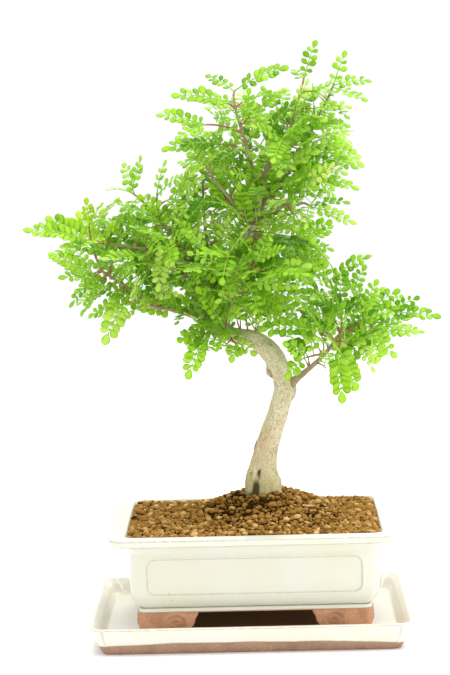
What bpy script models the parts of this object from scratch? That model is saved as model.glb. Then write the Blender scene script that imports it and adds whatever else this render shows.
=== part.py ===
"""Bonsai tree with pinnate leaves, in a glazed pot on a drip tray.

Metres, +Z up. The origin is the middle of the tray's flat underside, and the front faces -Y.
The tree is built in millimetres from the spot where the trunk leaves the soil.
"""

import math
import random

import bmesh
import bpy
from mathutils import Matrix, Vector
from mathutils.bvhtree import BVHTree

MM = 0.001
GAP = 0.0003
SEED = 11

# Drip tray: how much longer and wider it is than the pot, then its own profile
TRAY_SPARE_LENGTH = 0.025
TRAY_SPARE_WIDTH = 0.005
TRAY_HEIGHT = 0.0205
TRAY_FLOOR = 0.009
TRAY_FLARE = 0.009
TRAY_RIM = 0.0025
TRAY_ROUND = 0.0004
TRAY_CHAMFER = 0.0035
TRAY_CHAMFER_DROP = 0.0043
TRAY_WALL_LEAN = 0.003
TRAY_CORNER = 0.009

# Pot
POT_SHIFT = 0.003
POT_LENGTH = 0.210
POT_WIDTH = 0.159
POT_HEIGHT = 0.0755
POT_CORNER = 0.011
CAVITY_CORNER = 0.009
LIP_FLAT = 0.0115
LIP_EDGE = 0.006
LIP_OVERHANG = 0.014
LIP_ROUND = 0.0007
LIP_SLOPE = 0.005
LIP_EASE = 0.0015
LIP_EASE_DROP = 0.0025
NECK_HEIGHT = 0.0068
BODY_TUCK = 0.0085
BODY_TUCK_HEIGHT = 0.021
TUCK_STEPS = 4
POT_WALL = 0.006
POT_FLOOR = 0.0065
BAND_HEIGHT = 0.0034
BAND_STEP = 0.003
BAND_ROUND = 0.0008
FOOT_HEIGHT = 0.0173
FOOT_LENGTH = 0.043
FOOT_WIDTH = 0.034
FOOT_THICK = 0.014
FOOT_TAPER = 0.009
FOOT_BURY = 0.002
FOOT_ROUND = 0.005
# How much of the taper is left at a share of the foot's height
FOOT_CURVE = ((1.0, 0.0), (0.95, 0.25), (0.62, 0.6), (0.12, 0.85), (0.0, 1.0))
PANEL_MARGIN = 0.013
PANEL_RISE = 0.0111
PANEL_DROP = 0.0048
PANEL_DEPTH = 0.0009
PANEL_BEVEL = 0.0008
PANEL_CORNER = 0.006
DRAIN_RADIUS = 0.0065
DRAIN_SPACING = 0.080

# Drain screens, inside the pot over its drain holes
SCREEN_SIDE = 0.022
SCREEN_THICK = 0.0012
SCREEN_CELLS = 3
SCREEN_BAR = 0.0016

# Soil
SOIL_DROP = 0.0016
MOUND_HEIGHT = 0.0205
MOUND_CENTRE = (0.010, 0.002)
MOUND_REACH = (0.043, 0.040)
GRAIN_BUMP = 0.0009
MOUND_STEEPNESS = 0.8
MOUND_SHAPE = 1.3
MOUND_RINGS = 9
SOIL_ALONG = (7, 5)

# Tree: where the trunk stands from the pot's middle, and the thickness of its wood
TRUNK_STAND = (0.007, 0.0)
TRUNK_GIRTH = 1.0
BRANCH_GIRTH = 1.0
TRUNK_SIDES = 12
BRANCH_SIDES = 6
TWIG_RADIUS = 0.85
SOCKET = 1.3
COLLAR = 2.5

# Leaves, in millimetres
LEAFLET_LENGTH = 7.6
LEAFLET_WIDTH = 5.6
RACHIS_WIDTH = 0.9
RACHIS_THICK = 0.8
LEAF_CLEARANCE = 0.5
LEAFLET_APART = 0.5
LAST_STEP = 1.6
NECK = 0.9

# Centre line of the trunk, with its diameter
TRUNK_LINE = (
    (0, 0, -11, 20), (-1, 0, -3, 25), (0, 0, 4, 27), (0, 0, 12, 26), (1, 0, 20, 21), (3, 0, 29, 18),
    (5, 0, 37, 17), (9, -1, 49, 16), (13, -2, 60, 15.5), (16, -2, 70, 15.5), (18, -3, 79, 15.5),
    (17, -3, 88, 14.5), (14, -4, 97, 15), (10, -4, 105, 15.5), (4, -4, 112, 14),
    (-4, -3, 117, 12.5), (-14, -2, 119, 11.5), (-23, 0, 121, 11), (-33, 2, 125, 10.5),
    (-40, 3, 132, 10), (-44, 4, 141, 10), (-44, 5, 151, 9.5), (-41, 6, 160, 9.5),
    (-35, 6, 167, 9.5), (-27, 5, 172, 9), (-18, 4, 178, 8.6), (-11, 3, 187, 8), (-5, 2, 197, 7.4),
    (-1, 1, 209, 6.8), (2, 0, 220, 6), (4, 0, 229, 5.4),
)
ROOT_RINGS = 7

# Knots on the trunk: height, side angle in degrees, bulge and reach
KNOTS = (
    (78, 15, 2.2, 5.0),
    (95, 195, 3.4, 4.2),
    (34, 170, 1.2, 4.0),
    (112, 150, 1.6, 4.5),
)

# Each branch runs through points with a diameter; the first point lies in the wood that it grows from
BRANCHES = (
    ("branch_right_lower",
     ((18, -3, 79, 7.5), (28, -6, 87, 6), (36, -10, 94, 5), (45, -12, 102, 4.2), (53, -14, 111, 3.6),
      (59, -12, 119, 3.2), (70, -6, 124, 2.8), (82, 0, 129, 2.4), (92, 3, 132, 2))),
    ("branch_left_lower",
     ((-42, 3, 136, 6.5), (-52, 0, 137, 5.2), (-64, -5, 141, 4.6), (-80, -12, 145, 4),
      (-93, -16, 157, 3.4), (-104, -18, 165, 2.8), (-114, -18, 172, 2.2))),
    ("branch_left_upper",
     ((-39, 6, 163, 6), (-48, 0, 178, 4.6), (-56, -5, 189, 4), (-63, -8, 198, 3.4),
      (-70, -10, 208, 2.8), (-72, -10, 218, 2.2))),
    ("branch_left_mid",
     ((-43, 5, 156, 5), (-52, -10, 166, 3.8), (-60, -18, 176, 3.2), (-72, -24, 184, 2.8),
      (-91, -28, 190, 2.4), (-111, -28, 193, 2))),
    ("branch_centre_rise",
     ((-31, 6, 170, 5), (-36, 15, 182, 3.6), (-38, 18, 199, 3), (-39, 20, 219, 2.6), (-39, 20, 238, 2))),
    ("branch_centre",
     ((-24, 0, 121, 5), (-21, -18, 137, 3.6), (-17, -28, 152, 3), (-10, -32, 164, 2.6), (-4, -34, 173, 2))),
    ("leader_left",
     ((0, 0, 213, 5), (0, -8, 233, 4.2), (-3, -11, 252, 3.6), (-8, -12, 270, 3), (-12, -12, 284, 2.4),
      (-14, -10, 297, 2))),
    ("leader_mid",
     ((4, 0, 229, 5), (10, -4, 245, 4.2), (18, -6, 258, 3.6), (27, -8, 273, 3), (32, -8, 289, 2.4),
      (36, -6, 302, 2))),
    ("leader_right",
     ((0, 1, 210, 5), (16, 10, 230, 4), (32, 13, 247, 3.4), (40, 13, 262, 3), (44, 12, 273, 2.6),
      (51, 10, 285, 2.3), (57, 7, 297, 2))),
    ("branch_upper_right",
     ((-3, 1, 203, 4.6), (12, -8, 212, 3.4), (26, -14, 217, 2.8), (36, -16, 218, 2.2))),
    ("branch_mid_right",
     ((-8, 3, 191, 4.8), (7, 12, 193, 3.6), (24, 18, 191, 2.8), (37, 20, 186, 2.2))),
    ("branch_upper_left",
     ((-3, 1, 203, 4.8), (-11, -12, 212, 3.6), (-19, -18, 223, 3), (-27, -22, 234, 2.6),
      (-34, -22, 245, 2))),
    ("branch_front",
     ((-30, 5, 170, 5), (-28, -16, 174, 3.8), (-25, -36, 180, 3), (-20, -56, 185, 2.2))),
    ("branch_rear",
     ((-14, 4, 183, 5), (-9, 24, 185, 3.8), (-5, 44, 188, 3), (-2, 62, 189, 2.2))),
    ("branch_rear_left",
     ((-44, 5, 147, 5), (-51, 24, 151, 3.8), (-62, 42, 157, 3), (-75, 56, 161, 2.2))),
)

# Each spray: the wood that it grows on, how far along it, the end of its twig, and its leaf tips
SPRAYS = (
    ("crown_mid", "leader_mid", 1, (38, -6, 309), ((47, -10, 335), (30, 14, 315))),
    ("crown_right", "leader_right", 1, (60, 5, 304), ((69, 4, 327), (88, 10, 305), (84, -8, 291))),
    ("crown_right_side", "leader_right", 0.62, (51, 2, 275), ((68, -8, 274), (61, 36, 288))),
    ("crown_left", "leader_left", 1, (-13, -8, 301), ((26, -14, 317), (-34, 5, 312))),
    ("crown_left_arch", "leader_left", 0.86, (-20, -14, 293), ((-59, -16, 298), (-34, -34, 288))),
    ("crown_far_left", "leader_left", 0.6, (-37, -22, 277), ((-70, -24, 285), (-56, -42, 267))),
    ("crown_left_low", "leader_left", 0.45, (-28, -4, 262), ((-68, -4, 259), (-49, 16, 273))),
    ("crown_right_droop", "leader_right", 0.5, (51, 20, 265), ((82, 18, 241), (74, 40, 259))),
    ("crown_right_low", "leader_right", 0.33, (40, 10, 246), ((69, -2, 237), (62, 22, 216))),
    ("crown_front", "leader_mid", 0.5, (20, -26, 265), ((-1, -46, 276), (38, -46, 282), (13, -54, 249))),
    ("crown_centre", "leader_mid", 0.75, (19, 2, 286), ((7, 0, 303), (24, 26, 302))),
    ("crown_rear", "leader_mid", 0.3, (10, 24, 253), ((-9, 48, 268), (29, 52, 269), (6, 58, 241))),
    ("upper_right", "branch_upper_right", 1, (41, -16, 215),
     ((74, -14, 201), (54, -34, 228), (36, -38, 200))),
    ("upper_left", "branch_upper_left", 1, (-37, -22, 249),
     ((-47, -34, 240), (-49, -6, 252), (-23, -42, 258))),
    ("mid_right", "branch_mid_right", 1, (41, 20, 185), ((58, 14, 180), (58, 36, 197), (33, 46, 171))),
    ("left_tip", "branch_left_mid", 1, (-124, -26, 195),
     ((-169, -30, 204), (-154, -12, 211), (-150, -40, 183))),
    ("left_young", "branch_left_lower", 1, (-122, -20, 207), ((-124, -16, 225), (-111, -28, 222))),
    ("left_low", "branch_left_lower", 0.93, (-115, -20, 162), ((-131, -30, 159), (-132, -6, 137))),
    ("left_hanging", "branch_left_lower", 0.74, (-98, -22, 151), ((-114, -24, 117), (-110, -38, 140))),
    ("left_upright", "branch_left_upper", 0.8, (-91, -12, 229),
     ((-83, -14, 255), (-108, -26, 231), (-97, 8, 249))),
    ("left_crest", "branch_left_upper", 1, (-72, -12, 227), ((-65, -12, 251), (-52, -30, 241))),
    ("left_front", "branch_left_upper", 0.45, (-65, -38, 193),
     ((-82, -66, 205), (-60, -68, 178), (-46, -56, 202))),
    ("left_back", "branch_left_mid", 0.5, (-82, 6, 201), ((-105, 24, 208), (-78, 34, 219))),
    ("left_rear", "branch_rear_left", 1, (-80, 60, 163), ((-111, 72, 168), (-91, 80, 185), (-84, 76, 139))),
    ("centre_top", "branch_centre_rise", 1, (-39, 20, 244),
     ((-34, 28, 269), (-58, 42, 248), (-22, 46, 238))),
    ("centre_tip", "branch_centre", 1, (1, -38, 178), ((21, -54, 189), (-11, -60, 196))),
    ("centre_low", "branch_centre", 0.6, (-5, -38, 161), ((30, -38, 158), (-30, -58, 150))),
    ("front", "branch_front", 1, (-19, -60, 187), ((-4, -86, 207), (-39, -92, 189), (-25, -90, 166))),
    ("rear", "branch_rear", 1, (-1, 66, 191), ((16, 88, 209), (-24, 94, 198), (12, 92, 166))),
    ("trunk_hanging", "trunk", 0.62, (-41, -8, 120), ((-54, -12, 88), (-60, -26, 119))),
    ("trunk_under", "trunk", 0.56, (-17, -14, 115), ((-21, -20, 101), (-2, -30, 108))),
    ("right_tall", "branch_right_lower", 0.66, (53, -20, 161), ((83, -28, 179), (34, -36, 161))),
    ("right_second", "branch_right_lower", 0.84, (72, 6, 152), ((81, 4, 169), (58, 22, 165))),
    ("right_reach", "branch_right_lower", 1, (95, 3, 132), ((136, 0, 129), (110, 24, 144))),
    ("right_drop", "branch_right_lower", 0.88, (84, -8, 119), ((102, -12, 101), (90, 24, 92))),
    ("right_hanging", "branch_right_lower", 0.64, (58, -20, 107), ((61, -24, 69), (73, 4, 74))),
    ("right_inner", "branch_right_lower", 0.42, (32, -24, 104), ((19, -28, 89), (18, -42, 118))),
    ("right_front", "branch_right_lower", 0.56, (46, -34, 125),
     ((0, -46, 129), (31, -50, 148), (63, -54, 147))),
    ("right_rear", "branch_right_lower", 0.72, (68, 26, 116), ((90, 52, 101), (55, 58, 126))),
)

CREAM = (0.80, 0.79, 0.70)
PLASTIC = (0.03, 0.03, 0.03)
EARTH = (0.30, 0.15, 0.06)
BARK = (0.50, 0.43, 0.31)
TWIG = (0.30, 0.20, 0.11)
LEAF = (0.16, 0.42, 0.03)
YOUNG_LEAF = (0.36, 0.62, 0.03)
GLAZE_ROUGHNESS = 0.2
PLASTIC_ROUGHNESS = 0.5
LEAF_ROUGHNESS = 0.5
BARK_ROUGHNESS = 0.8
EARTH_ROUGHNESS = 0.95
EDGE_ANGLE = math.radians(35)

TRAY_LENGTH = POT_LENGTH + TRAY_SPARE_LENGTH
TRAY_WIDTH = POT_WIDTH + TRAY_SPARE_WIDTH
POT_BASE = TRAY_FLOOR + GAP
BAND_BASE = POT_BASE + FOOT_HEIGHT
RIM_TOP = POT_BASE + POT_HEIGHT
LIP_UNDER = RIM_TOP - LIP_EDGE
BODY_HALF = POT_LENGTH / 2 - LIP_OVERHANG
BODY_BASE = BAND_BASE + BAND_HEIGHT
BODY_TOP = LIP_UNDER - NECK_HEIGHT
CAVITY_FLOOR = BAND_BASE + POT_FLOOR
SOIL_EDGE = RIM_TOP - SOIL_DROP


def material(name, colour, roughness):
    """One plain material for one piece."""
    made = bpy.data.materials.new(name)
    made.use_nodes = True
    shader = made.node_tree.nodes["Principled BSDF"]
    shader.inputs["Base Color"].default_value = (*colour, 1.0)
    shader.inputs["Roughness"].default_value = roughness
    shader.inputs["Metallic"].default_value = 0.0
    return made


class Skin:
    """A closed surface that grows ring by ring."""

    def __init__(self):
        self.points = []
        self.faces = []

    def ring(self, points):
        start = len(self.points)
        self.points.extend(Vector(point) for point in points)
        return list(range(start, len(self.points)))

    def bridge(self, near, far, leave_open=()):
        count = len(near)
        for i in range(count):
            j = (i + 1) % count
            if i not in leave_open:
                self.faces.append((near[i], near[j], far[j], far[i]))

    def cap(self, ring):
        self.faces.append(tuple(ring))

    def fan(self, ring, point):
        middle = self.ring([point])[0]
        for i in range(len(ring)):
            self.faces.append((ring[i], ring[(i + 1) % len(ring)], middle))

    def mesh(self, name, scale=1.0):
        made = bpy.data.meshes.new(name)
        shape = bmesh.new()
        verts = [shape.verts.new(point * scale) for point in self.points]
        for face in self.faces:
            shape.faces.new([verts[i] for i in face])
        bmesh.ops.recalc_face_normals(shape, faces=shape.faces)
        shape.to_mesh(made)
        shape.free()
        return made

    def tree(self):
        return BVHTree.FromPolygons(self.points, self.faces)


def place(name, mesh, location, colour, roughness, smooth=True):
    """Puts a mesh in the scene as one named piece."""
    piece = bpy.data.objects.new(name, mesh)
    piece.location = location
    bpy.context.scene.collection.objects.link(piece)
    piece.data.materials.append(material(name, colour, roughness))
    for face in piece.data.polygons:
        face.use_smooth = smooth
    return piece


def combine(piece, other, operation):
    """Joins or cuts a piece with another mesh, and removes that mesh's object."""
    step = piece.modifiers.new(operation.lower(), "BOOLEAN")
    step.operation = operation
    step.solver = "EXACT"
    step.object = other
    bpy.context.view_layer.update()
    graph = bpy.context.evaluated_depsgraph_get()
    mesh = bpy.data.meshes.new_from_object(piece.evaluated_get(graph))
    piece.modifiers.clear()
    piece.data = mesh
    bpy.data.objects.remove(other)


def helper(name, skin, location=(0, 0, 0), scale=1.0):
    """An object that is used up in a Boolean."""
    made = bpy.data.objects.new(name, skin.mesh(name, scale))
    made.location = location
    bpy.context.scene.collection.objects.link(made)
    return made


def rounded_rectangle(half_length, half_width, corner, height, steps=5, along=(0, 0)):
    """Points of a rounded rectangle, anticlockwise, in a level plane; along adds points to its sides."""
    points = []
    for quarter in range(4):
        side_x = 1 if quarter in (0, 3) else -1
        side_y = 1 if quarter in (0, 1) else -1
        centre_x = side_x * (half_length - corner)
        centre_y = side_y * (half_width - corner)
        for step in range(steps + 1):
            angle = math.radians(90 * quarter + 90 * step / steps)
            turn_x = corner * math.cos(angle)
            turn_y = corner * math.sin(angle)
            points.append((centre_x + turn_x, centre_y + turn_y, height))
        run = 2 * (half_width - corner) if quarter in (1, 3) else 2 * (half_length - corner)
        extra = along[1] if quarter in (1, 3) else along[0]
        way = Vector((-side_x, 0, 0)) if quarter in (0, 2) else Vector((0, -side_y, 0))
        for i in range(extra):
            points.append(tuple(Vector(points[-1 - i]) + way * run * (i + 1) / (extra + 1)))
    return points


def loft(rows, half_length, half_width):
    """A solid through rows of (distance in from the outline, height, corner), closed at both ends."""
    skin = Skin()
    last = None
    for inset, height, corner in rows:
        ring = skin.ring(rounded_rectangle(half_length - inset, half_width - inset, corner, height))
        if last is None:
            skin.cap(ring)
        else:
            skin.bridge(last, ring)
        last = ring
    skin.cap(last)
    return skin


def build_tray():
    rows = [
        (TRAY_FLARE, 0.0),
        (0.0, TRAY_HEIGHT - 2 * TRAY_ROUND),
        (TRAY_ROUND, TRAY_HEIGHT),
        (TRAY_RIM, TRAY_HEIGHT),
        (TRAY_RIM + TRAY_CHAMFER, TRAY_HEIGHT - TRAY_CHAMFER_DROP),
        (TRAY_RIM + TRAY_CHAMFER + TRAY_WALL_LEAN, TRAY_FLOOR),
    ]
    rows = [(inset, height, TRAY_CORNER) for inset, height in rows]
    skin = loft(rows, TRAY_LENGTH / 2, TRAY_WIDTH / 2)
    tray = place("drip_tray", skin.mesh("drip_tray"), (0, 0, 0), CREAM, GLAZE_ROUGHNESS)
    tray.data.set_sharp_from_angle(angle=EDGE_ANGLE)


def cavity_rows():
    """The pot's inside, from the floor up to the lip: distance in from the lip's outline, and height."""
    wall = LIP_OVERHANG + POT_WALL
    return [
        (wall + BODY_TUCK, CAVITY_FLOOR),
        (wall + BODY_TUCK * 0.45, CAVITY_FLOOR + 0.35 * BODY_TUCK_HEIGHT),
        (wall, BODY_BASE + BODY_TUCK_HEIGHT),
        (wall, BODY_TOP),
        (LIP_FLAT + LIP_EASE, RIM_TOP - LIP_EASE_DROP),
        (LIP_FLAT, RIM_TOP),
    ]


def body_rows():
    """The pot's outside, from its underside up to the lip."""
    waist = LIP_OVERHANG + BODY_TUCK
    rows = [
        (waist - BAND_STEP + BAND_ROUND, BAND_BASE),
        (waist - BAND_STEP, BAND_BASE + BAND_ROUND),
        (waist - BAND_STEP, BODY_BASE - BAND_ROUND),
        (waist, BODY_BASE),
    ]
    for step in range(1, TUCK_STEPS + 1):
        angle = math.pi / 2 * step / TUCK_STEPS
        inset = LIP_OVERHANG + BODY_TUCK * (1 - math.sin(angle))
        rows.append((inset, BODY_BASE + BODY_TUCK_HEIGHT * (1 - math.cos(angle))))
    rows += [
        (LIP_OVERHANG, BODY_TOP),
        (LIP_OVERHANG - 0.3 * LIP_SLOPE, LIP_UNDER - 0.35 * NECK_HEIGHT),
        (LIP_OVERHANG - LIP_SLOPE, LIP_UNDER),
        (LIP_ROUND, LIP_UNDER + LIP_ROUND),
        (0.0, LIP_UNDER + 2 * LIP_ROUND),
        (0.0, RIM_TOP - LIP_ROUND),
        (LIP_ROUND, RIM_TOP),
    ]
    return rows


def foot(side_x, side_y):
    """One corner foot, an L in plan whose two legs get shorter towards the floor."""
    outer_x = BODY_HALF - BODY_TUCK + BAND_STEP - BAND_ROUND
    outer_y = outer_x - (POT_LENGTH - POT_WIDTH) / 2
    top = BAND_BASE + FOOT_BURY
    skin = Skin()
    last = None
    for share, height in FOOT_CURVE:
        cut = FOOT_TAPER * share
        z = POT_BASE + (top - POT_BASE) * height
        length = FOOT_LENGTH - cut
        width = FOOT_WIDTH - cut
        outline = [
            (0, FOOT_ROUND), (0.3 * FOOT_ROUND, 0.3 * FOOT_ROUND), (FOOT_ROUND, 0), (length, 0),
            (length, FOOT_THICK), (FOOT_THICK, FOOT_THICK), (FOOT_THICK, width), (0, width),
        ]
        points = [(side_x * (outer_x - x), side_y * (outer_y - y), z) for x, y in outline]
        ring = skin.ring(points)
        if last is None:
            skin.cap(ring)
        else:
            skin.bridge(last, ring)
        last = ring
    skin.cap(last)
    return skin


def panel_cutter(half_span, face, along_x, sign):
    """A shallow plate with rounded corners that sinks one framed panel into a wall."""
    low = BODY_BASE + PANEL_RISE
    high = BODY_TOP - PANEL_DROP
    middle = (low + high) / 2
    corner = min(PANEL_CORNER, (high - low) / 2 - 2 * PANEL_BEVEL)
    outline = rounded_rectangle(half_span, (high - low) / 2, corner, 0.0, steps=3)
    skin = Skin()
    last = None
    for inset, depth in ((PANEL_BEVEL, -PANEL_DEPTH), (0.0, 0.0), (0.0, PANEL_MARGIN)):
        ring = []
        for u, v, _ in outline:
            u -= math.copysign(inset, u)
            v -= math.copysign(inset, v)
            out = sign * (face + depth)
            ring.append((u, out, middle + v) if along_x else (out, u, middle + v))
        ring = skin.ring(ring)
        if last is None:
            skin.cap(ring)
        else:
            skin.bridge(last, ring)
        last = ring
    skin.cap(last)
    return skin


def cylinder(radius, low, high, sides=16):
    skin = Skin()
    turns = [2 * math.pi * i / sides for i in range(sides)]
    circle = [(radius * math.cos(turn), radius * math.sin(turn)) for turn in turns]
    bottom = skin.ring([(x, y, low) for x, y in circle])
    top = skin.ring([(x, y, high) for x, y in circle])
    skin.cap(bottom)
    skin.bridge(bottom, top)
    skin.cap(top)
    return skin


def build_pot():
    rows = [(inset, height, POT_CORNER) for inset, height in body_rows()]
    rows += [(inset, height, CAVITY_CORNER) for inset, height in cavity_rows()[::-1]]
    skin = loft(rows, POT_LENGTH / 2, POT_WIDTH / 2)
    here = (POT_SHIFT, 0, 0)
    pot = place("pot", skin.mesh("pot"), here, CREAM, GLAZE_ROUGHNESS)
    for side_x in (1, -1):
        for side_y in (1, -1):
            combine(pot, helper("foot", foot(side_x, side_y), here), "UNION")
    long_face = BODY_HALF
    short_face = BODY_HALF - (POT_LENGTH - POT_WIDTH) / 2
    for sign in (1, -1):
        combine(pot, helper("panel", panel_cutter(long_face - PANEL_MARGIN, short_face, True, sign), here),
                "DIFFERENCE")
        combine(pot, helper("panel", panel_cutter(short_face - PANEL_MARGIN, long_face, False, sign), here),
                "DIFFERENCE")
        drain = cylinder(DRAIN_RADIUS, BAND_BASE - 0.01, CAVITY_FLOOR + 0.01)
        combine(pot, helper("drain", drain, (POT_SHIFT + sign * DRAIN_SPACING / 2, 0, 0)), "DIFFERENCE")
    pot.data.set_sharp_from_angle(angle=EDGE_ANGLE)


def build_screen(name, x):
    """A square of plastic mesh that keeps the soil out of one drain hole."""
    cell = (SCREEN_SIDE - SCREEN_BAR) / SCREEN_CELLS
    count = SCREEN_CELLS * 2 + 1
    lines = [0.0]
    for i in range(SCREEN_CELLS):
        lines += [SCREEN_BAR + i * cell, (i + 1) * cell]
    lines.append(SCREEN_SIDE)
    lines = [line - SCREEN_SIDE / 2 for line in lines]
    shape = bmesh.new()
    grid = [[shape.verts.new((x, y, 0)) for y in lines] for x in lines]
    for i in range(count):
        for j in range(count):
            if i % 2 and j % 2:
                continue
            shape.faces.new((grid[i][j], grid[i + 1][j], grid[i + 1][j + 1], grid[i][j + 1]))
    walls = bmesh.ops.extrude_face_region(shape, geom=shape.faces[:])
    lifted = [item for item in walls["geom"] if isinstance(item, bmesh.types.BMVert)]
    bmesh.ops.translate(shape, verts=lifted, vec=(0, 0, SCREEN_THICK))
    bmesh.ops.recalc_face_normals(shape, faces=shape.faces)
    mesh = bpy.data.meshes.new(name)
    shape.to_mesh(mesh)
    shape.free()
    here = (POT_SHIFT + x, 0, CAVITY_FLOOR + GAP)
    place(name, mesh, here, PLASTIC, PLASTIC_ROUGHNESS, smooth=False)


def soil_height(x, y):
    """Height of the soil at a point, from the pot's middle."""
    away_x = (x - MOUND_CENTRE[0]) / MOUND_REACH[0]
    away_y = (y - MOUND_CENTRE[1]) / MOUND_REACH[1]
    away = (away_x ** 2 + away_y ** 2) ** MOUND_SHAPE
    return SOIL_EDGE + MOUND_HEIGHT * math.exp(-MOUND_STEEPNESS * away)


def build_soil():
    """Fills the pot to its lip, mounded round the trunk, over the drain screens."""
    chance = random.Random(SEED)
    skin = Skin()
    screen_room = SCREEN_THICK + 2 * GAP
    rows = [(inset + GAP, height) for inset, height in cavity_rows()]
    rows[0] = (rows[0][0], rows[0][1] + screen_room)
    drop = min(SOIL_DROP + GRAIN_BUMP, LIP_EASE_DROP - GAP)
    rows[-1] = (LIP_FLAT + LIP_EASE * drop / LIP_EASE_DROP + GAP, RIM_TOP - drop)
    along = SOIL_ALONG
    last = None
    for inset, height in rows:
        ring = skin.ring(rounded_rectangle(POT_LENGTH / 2 - inset, POT_WIDTH / 2 - inset,
                                           CAVITY_CORNER - GAP, height, along=along))
        if last is None:
            skin.cap(ring)
        else:
            skin.bridge(last, ring)
        last = ring
    inset = LIP_FLAT + LIP_EASE + 4 * GAP
    half_length = POT_LENGTH / 2 - inset
    half_width = POT_WIDTH / 2 - inset
    for i in range(MOUND_RINGS):
        share = 1 - i / MOUND_RINGS
        points = []
        corner = CAVITY_CORNER * share
        for x, y, _ in rounded_rectangle(half_length * share, half_width * share, corner, 0, along=along):
            x += (1 - share) * MOUND_CENTRE[0]
            y += (1 - share) * MOUND_CENTRE[1]
            points.append((x, y, soil_height(x, y) + chance.uniform(-GRAIN_BUMP, GRAIN_BUMP)))
        ring = skin.ring(points)
        skin.bridge(last, ring)
        last = ring
    skin.fan(last, (*MOUND_CENTRE, soil_height(*MOUND_CENTRE)))
    soil = place("soil", skin.mesh("soil"), (POT_SHIFT, 0, 0), EARTH, EARTH_ROUGHNESS)
    roots = wood_skin(TRUNK_LINE[:ROOT_RINGS], TRUNK_SIDES, TRUNK_GIRTH, GAP / MM)
    combine(soil, helper("socket", roots, tree_foot(), MM), "DIFFERENCE")


def tree_foot():
    x, y = TRUNK_STAND
    return Vector((POT_SHIFT + x, y, SOIL_EDGE + MOUND_HEIGHT))


def frames(line):
    """Centre, direction, side and upper vectors along a line, turned as little as possible."""
    places = [Vector(point[:3]) for point in line]
    found = []
    side = Vector((1, 0, 0))
    for i, here in enumerate(places):
        before = places[max(i - 1, 0)]
        after = places[min(i + 1, len(places) - 1)]
        forward = (after - before).normalized()
        side = side - side.dot(forward) * forward
        if side.length < 0.2:
            side = forward.orthogonal()
        side.normalize()
        found.append((here, forward, side.copy(), forward.cross(side)))
    return found


def trunk_radius(radius, height, angle):
    """Root flare with lobes and a cleft near the soil, then knots further up."""
    flare = max(0.0, 1 - abs(height - 6) / 20)
    shape = 1 + flare * (0.07 * math.cos(3 * angle + 0.8) + 0.05 * math.cos(5 * angle - 0.4))
    cleft = math.exp(-((angle - math.radians(256)) / 0.35) ** 2) * flare
    bulge = 0.0
    for knot_height, knot_angle, rise, reach in KNOTS:
        turn = angle - math.radians(knot_angle)
        turn = math.atan2(math.sin(turn), math.cos(turn))
        bulge += rise * math.exp(-((height - knot_height) / reach) ** 2 - (turn / 0.55) ** 2)
    return radius * (shape - 0.13 * cleft) + bulge


def wood_skin(line, sides, girth, extra=0.0, lobed=True):
    """A tapering limb through the line's points; extra makes it thicker all round."""
    skin = Skin()
    last = None
    turns = [2 * math.pi * i / sides for i in range(sides)]
    spine = frames(line)
    for (centre, forward, side, upper), point in zip(spine, line):
        radius = point[3] / 2 * girth
        ring = []
        for angle in turns:
            reach = trunk_radius(radius, centre.z, angle) if lobed else radius
            ring.append(centre + (reach + extra) * (math.cos(angle) * side + math.sin(angle) * upper))
        if last is None:
            ring = [corner - extra * forward for corner in ring]
        ring = skin.ring(ring)
        if last is None:
            skin.cap(ring)
        else:
            skin.bridge(last, ring)
        last = ring
    skin.cap(last)
    return skin


def at_share(line, share):
    """Centre, direction and radius at a share of the way along a line."""
    place_along = share * (len(line) - 1)
    i = min(int(place_along), len(line) - 2)
    t = place_along - i
    start, stop = Vector(line[i]), Vector(line[i + 1])
    point = start.lerp(stop, t)
    forward = Vector((stop - start)[:3]).normalized()
    return Vector(point[:3]), forward, point[3] / 2


def clear_start(centre, forward, radius, toward, twig_radius):
    """Where a limb starts just off the wood that it grows from, and its first direction."""
    aim = toward - centre
    across = aim - aim.dot(forward) * forward
    if across.length < 0.3 * aim.length:
        across = forward.orthogonal() if across.length < 0.01 else across
    along = max(-0.8, min(0.8, aim.dot(forward) / max(across.length, 0.01)))
    heading = (across.normalized() + along * forward).normalized()
    sine = math.sqrt(1 - heading.dot(forward) ** 2)
    cosine = abs(heading.dot(forward))
    reach = (radius + GAP / MM + twig_radius * cosine) / sine
    return centre + reach * heading, heading


def build_trunk():
    skin = wood_skin(TRUNK_LINE, TRUNK_SIDES, TRUNK_GIRTH)
    place("trunk", skin.mesh("trunk", MM), tree_foot(), BARK, BARK_ROUGHNESS)
    return skin


def branch_line(points):
    """The branch's own line, which starts just off the trunk."""
    root = Vector(points[0][:3])
    ways = [(Vector(point[:3]) - root).length for point in TRUNK_LINE]
    share = ways.index(min(ways)) / (len(TRUNK_LINE) - 1)
    centre, forward, radius = at_share(TRUNK_LINE, share)
    _, _, far_radius = at_share(TRUNK_LINE, max(0.0, share - 0.03))
    radius = max(radius, far_radius) * TRUNK_GIRTH
    if share == 1.0:
        end = Vector(TRUNK_LINE[-1][:3])
        aim = forward
        start = end + GAP / MM * aim
        size = min(points[0][3], TRUNK_LINE[-1][3])
        collar = start + COLLAR * aim
        return [(*start, size), (*collar, size * 0.95), *points[1:]]
    bulge = sum(rise for height, _, rise, reach in KNOTS if abs(height - centre.z) < 2 * reach)
    size = points[0][3]
    toward = Vector(points[1][:3])
    start, heading = clear_start(centre, forward, radius + bulge, toward, size * BRANCH_GIRTH / 2)
    collar = start + COLLAR * heading
    ahead = list(points[1:])
    while (Vector(ahead[0][:3]) - collar).dot(heading) < COLLAR and len(ahead) > 2:
        ahead.pop(0)
    return [(*start, size), (*collar, size * 0.85), *ahead]


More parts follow.
